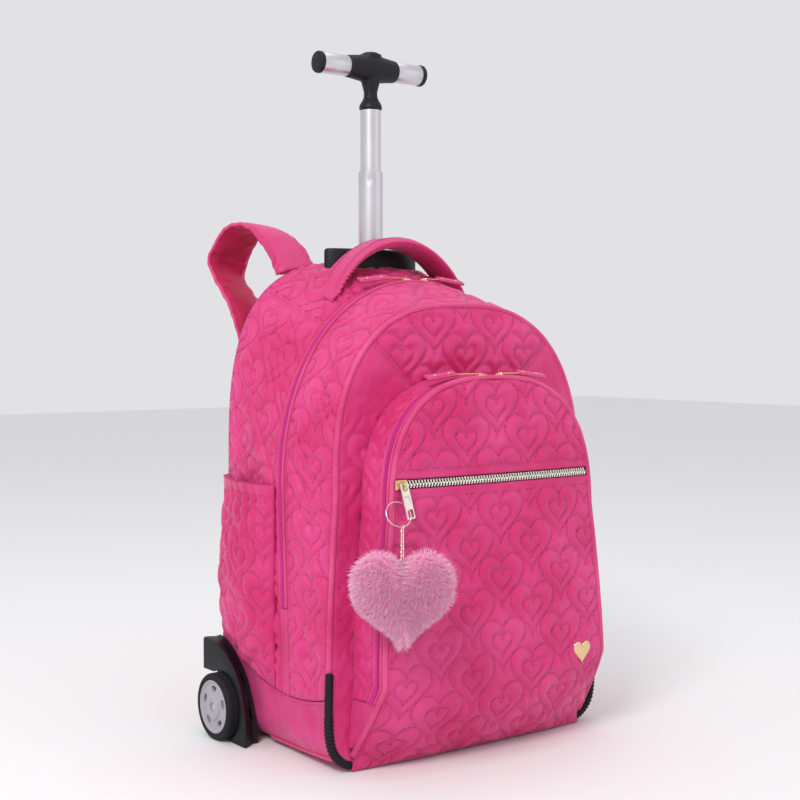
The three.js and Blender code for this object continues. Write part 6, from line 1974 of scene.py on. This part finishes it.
strand = strand_mesh()
skin = bpy.data.objects.new("fur_skin", fur_core.data.copy())
bpy.context.scene.collection.objects.link(skin)
growth = skin.modifiers.new("pile", "NODES")
growth.node_group = pile_tree()
fur_area = sum(face.area for face in fur_core.data.polygons)
hair_count = 12300
set_modifier_inputs(growth, {"Element": strand, "Density": hair_count / fur_area, "Seed": 7, "Droop": 0.75,
                             "Finish": fur_paint})
pile = grown(skin, "fur_heart_pile")
bpy.data.objects.remove(strand)
add_piece(pile)


# Sliders of the coil zips, each with a wire loop and a stiff fabric tab held by two rivets.
tab_length = 34.0
tab_width = 9.0
tab_slope = 0.12
tab_twist = 0.45
tab_roll = rotation(0, -tab_twist)
main_zip_y = float(depth_at(arches["zip"], bag_height * arches["zip"]["crown"]))
pocket_zip_y = float(zip_front(pocket_height) + zip_rear(pocket_height)) / 2
trims = [("main_zip", "left", -9.0, -1, 32.0, main_zip_y), ("main_zip", "right", 11.0, 1, 30.0, main_zip_y),
         ("pocket_zip", "left", -7.0, -1, 37.0, pocket_zip_y),
         ("pocket_zip", "right", 14.0, 1, 39.0, pocket_zip_y)]
wire_bend = 2.6
for prefix, name, at, side, tab, y in trims:
    seat = float(node_box(f"{prefix}_slider_{name}")[0][2])
    loop_z = seat + 3.2
    loop_start, loop_end = at + side * 3, side * (tab + 3)
    half = abs(loop_end - loop_start) / 2 - wire_bend
    turn = full_turn(40)
    wide = wire_bend * np.cos(turn)
    loop_x = (loop_start + loop_end) / 2 + wide + half * np.sign(wide) * (np.abs(wide) > 0.1)
    loop = np.stack([loop_x, y + wire_bend * np.sin(turn), np.full(len(turn), loop_z)], axis=1)
    parts = [rounded_block((11, 7.5, 2.6), (at, y, seat + 1.3), 1.0),
             rounded_block((8, 5.6, 1.0), (at, y, seat + 2.7), 0.45),
             rounded_block((2.2, 3, 2.2), (at + side * 1.2, y, seat + 3.4), 0.7)]
    wire_points, wire_faces, _ = tube_parts(loop, 0.7, 8, closed=True)
    slider = gathered(f"{prefix}_slider_{name}_metal", parts + [(wire_points, wire_faces)], pale_gold)
    dress(slider, f"{prefix}_slider_{name}")

    share, wide = np.meshgrid(np.linspace(0, 1, 33), np.linspace(-1, 1, 9))
    x = 1.4 + share * (tab_length - 1.4)
    x = x - (share > 0.99) * 0.9 * np.abs((wide * 4) % 2 - 1)
    swell = 1.55 - 0.7 * np.abs(wide) ** 4 + 0.15 * np.cos(share * 40)
    outline = np.stack([x, wide * tab_width / 2, swell], axis=-1)
    slope = side * tab_slope

    def placed(points):
        points = np.asarray(points, float) @ tab_roll + [0, 0, 1.0]
        points[..., 0] *= side
        turned_x = points[..., 0] * math.cos(slope) + points[..., 2] * math.sin(slope)
        turned_z = -points[..., 0] * math.sin(slope) + points[..., 2] * math.cos(slope)
        return np.stack([turned_x + side * tab, points[..., 1] + y, turned_z + loop_z], axis=-1)

    under = outline * [1, 1, -1]
    tab_cloth = sewn_panel(f"{prefix}_tab_{name}_cloth", placed(outline), placed(under), strap_face,
                           outline[..., :2], 0 * share, coarse=2)
    dress(tab_cloth, f"{prefix}_tab_{name}")
    rivets = []
    for distance in (7.5, 24.0):
        for face_side in (-1, 1):
            outline = [(0.01, 0.9), (1.5, 0.9), (1.5, 1.7), (1.1, 2.0), (0.01, 2.15)]
            points, faces = turned_parts([(r, face_side * z) for r, z in outline], 16, 2, (distance, 0, 0))
            rivets.append((placed(points), faces))
    rivet = gathered(f"{prefix}_rivets_{name}", rivets, pale_gold)
    add_piece(rivet)
    edge = np.stack([np.linspace(4, tab_length - 3, 14), np.full(14, 3.1), np.full(14, 1.5)], axis=1)
    for sign in (-1, 1):
        stitch_points(placed(edge * [1, sign, 1]), np.tile([0, 0, 1.0], (14, 1)), 2.4, seam_runs)


# Stitches: one spindle of thread, repeated along every seam and quilting line.
spindle = []
for along, radius in ((-1.4, 0.12), (0, 0.3), (1.4, 0.12)):
    spindle += [(along, radius * math.cos(angle), radius * math.sin(angle)) for angle in full_turn(3)]
stitch = solid_mesh("stitch", spindle, ring_faces(3, 3), thread_paint, np.zeros((9, 2)))
for label, store in (("quilting_thread", quilt_runs), ("seam_thread", seam_runs)):
    thread = set_out(label, stitch, np.concatenate(store["points"]), np.concatenate(store["along"]),
                     np.concatenate(store["facing"]), thread_paint)
    add_piece(thread)
bpy.data.objects.remove(stitch)
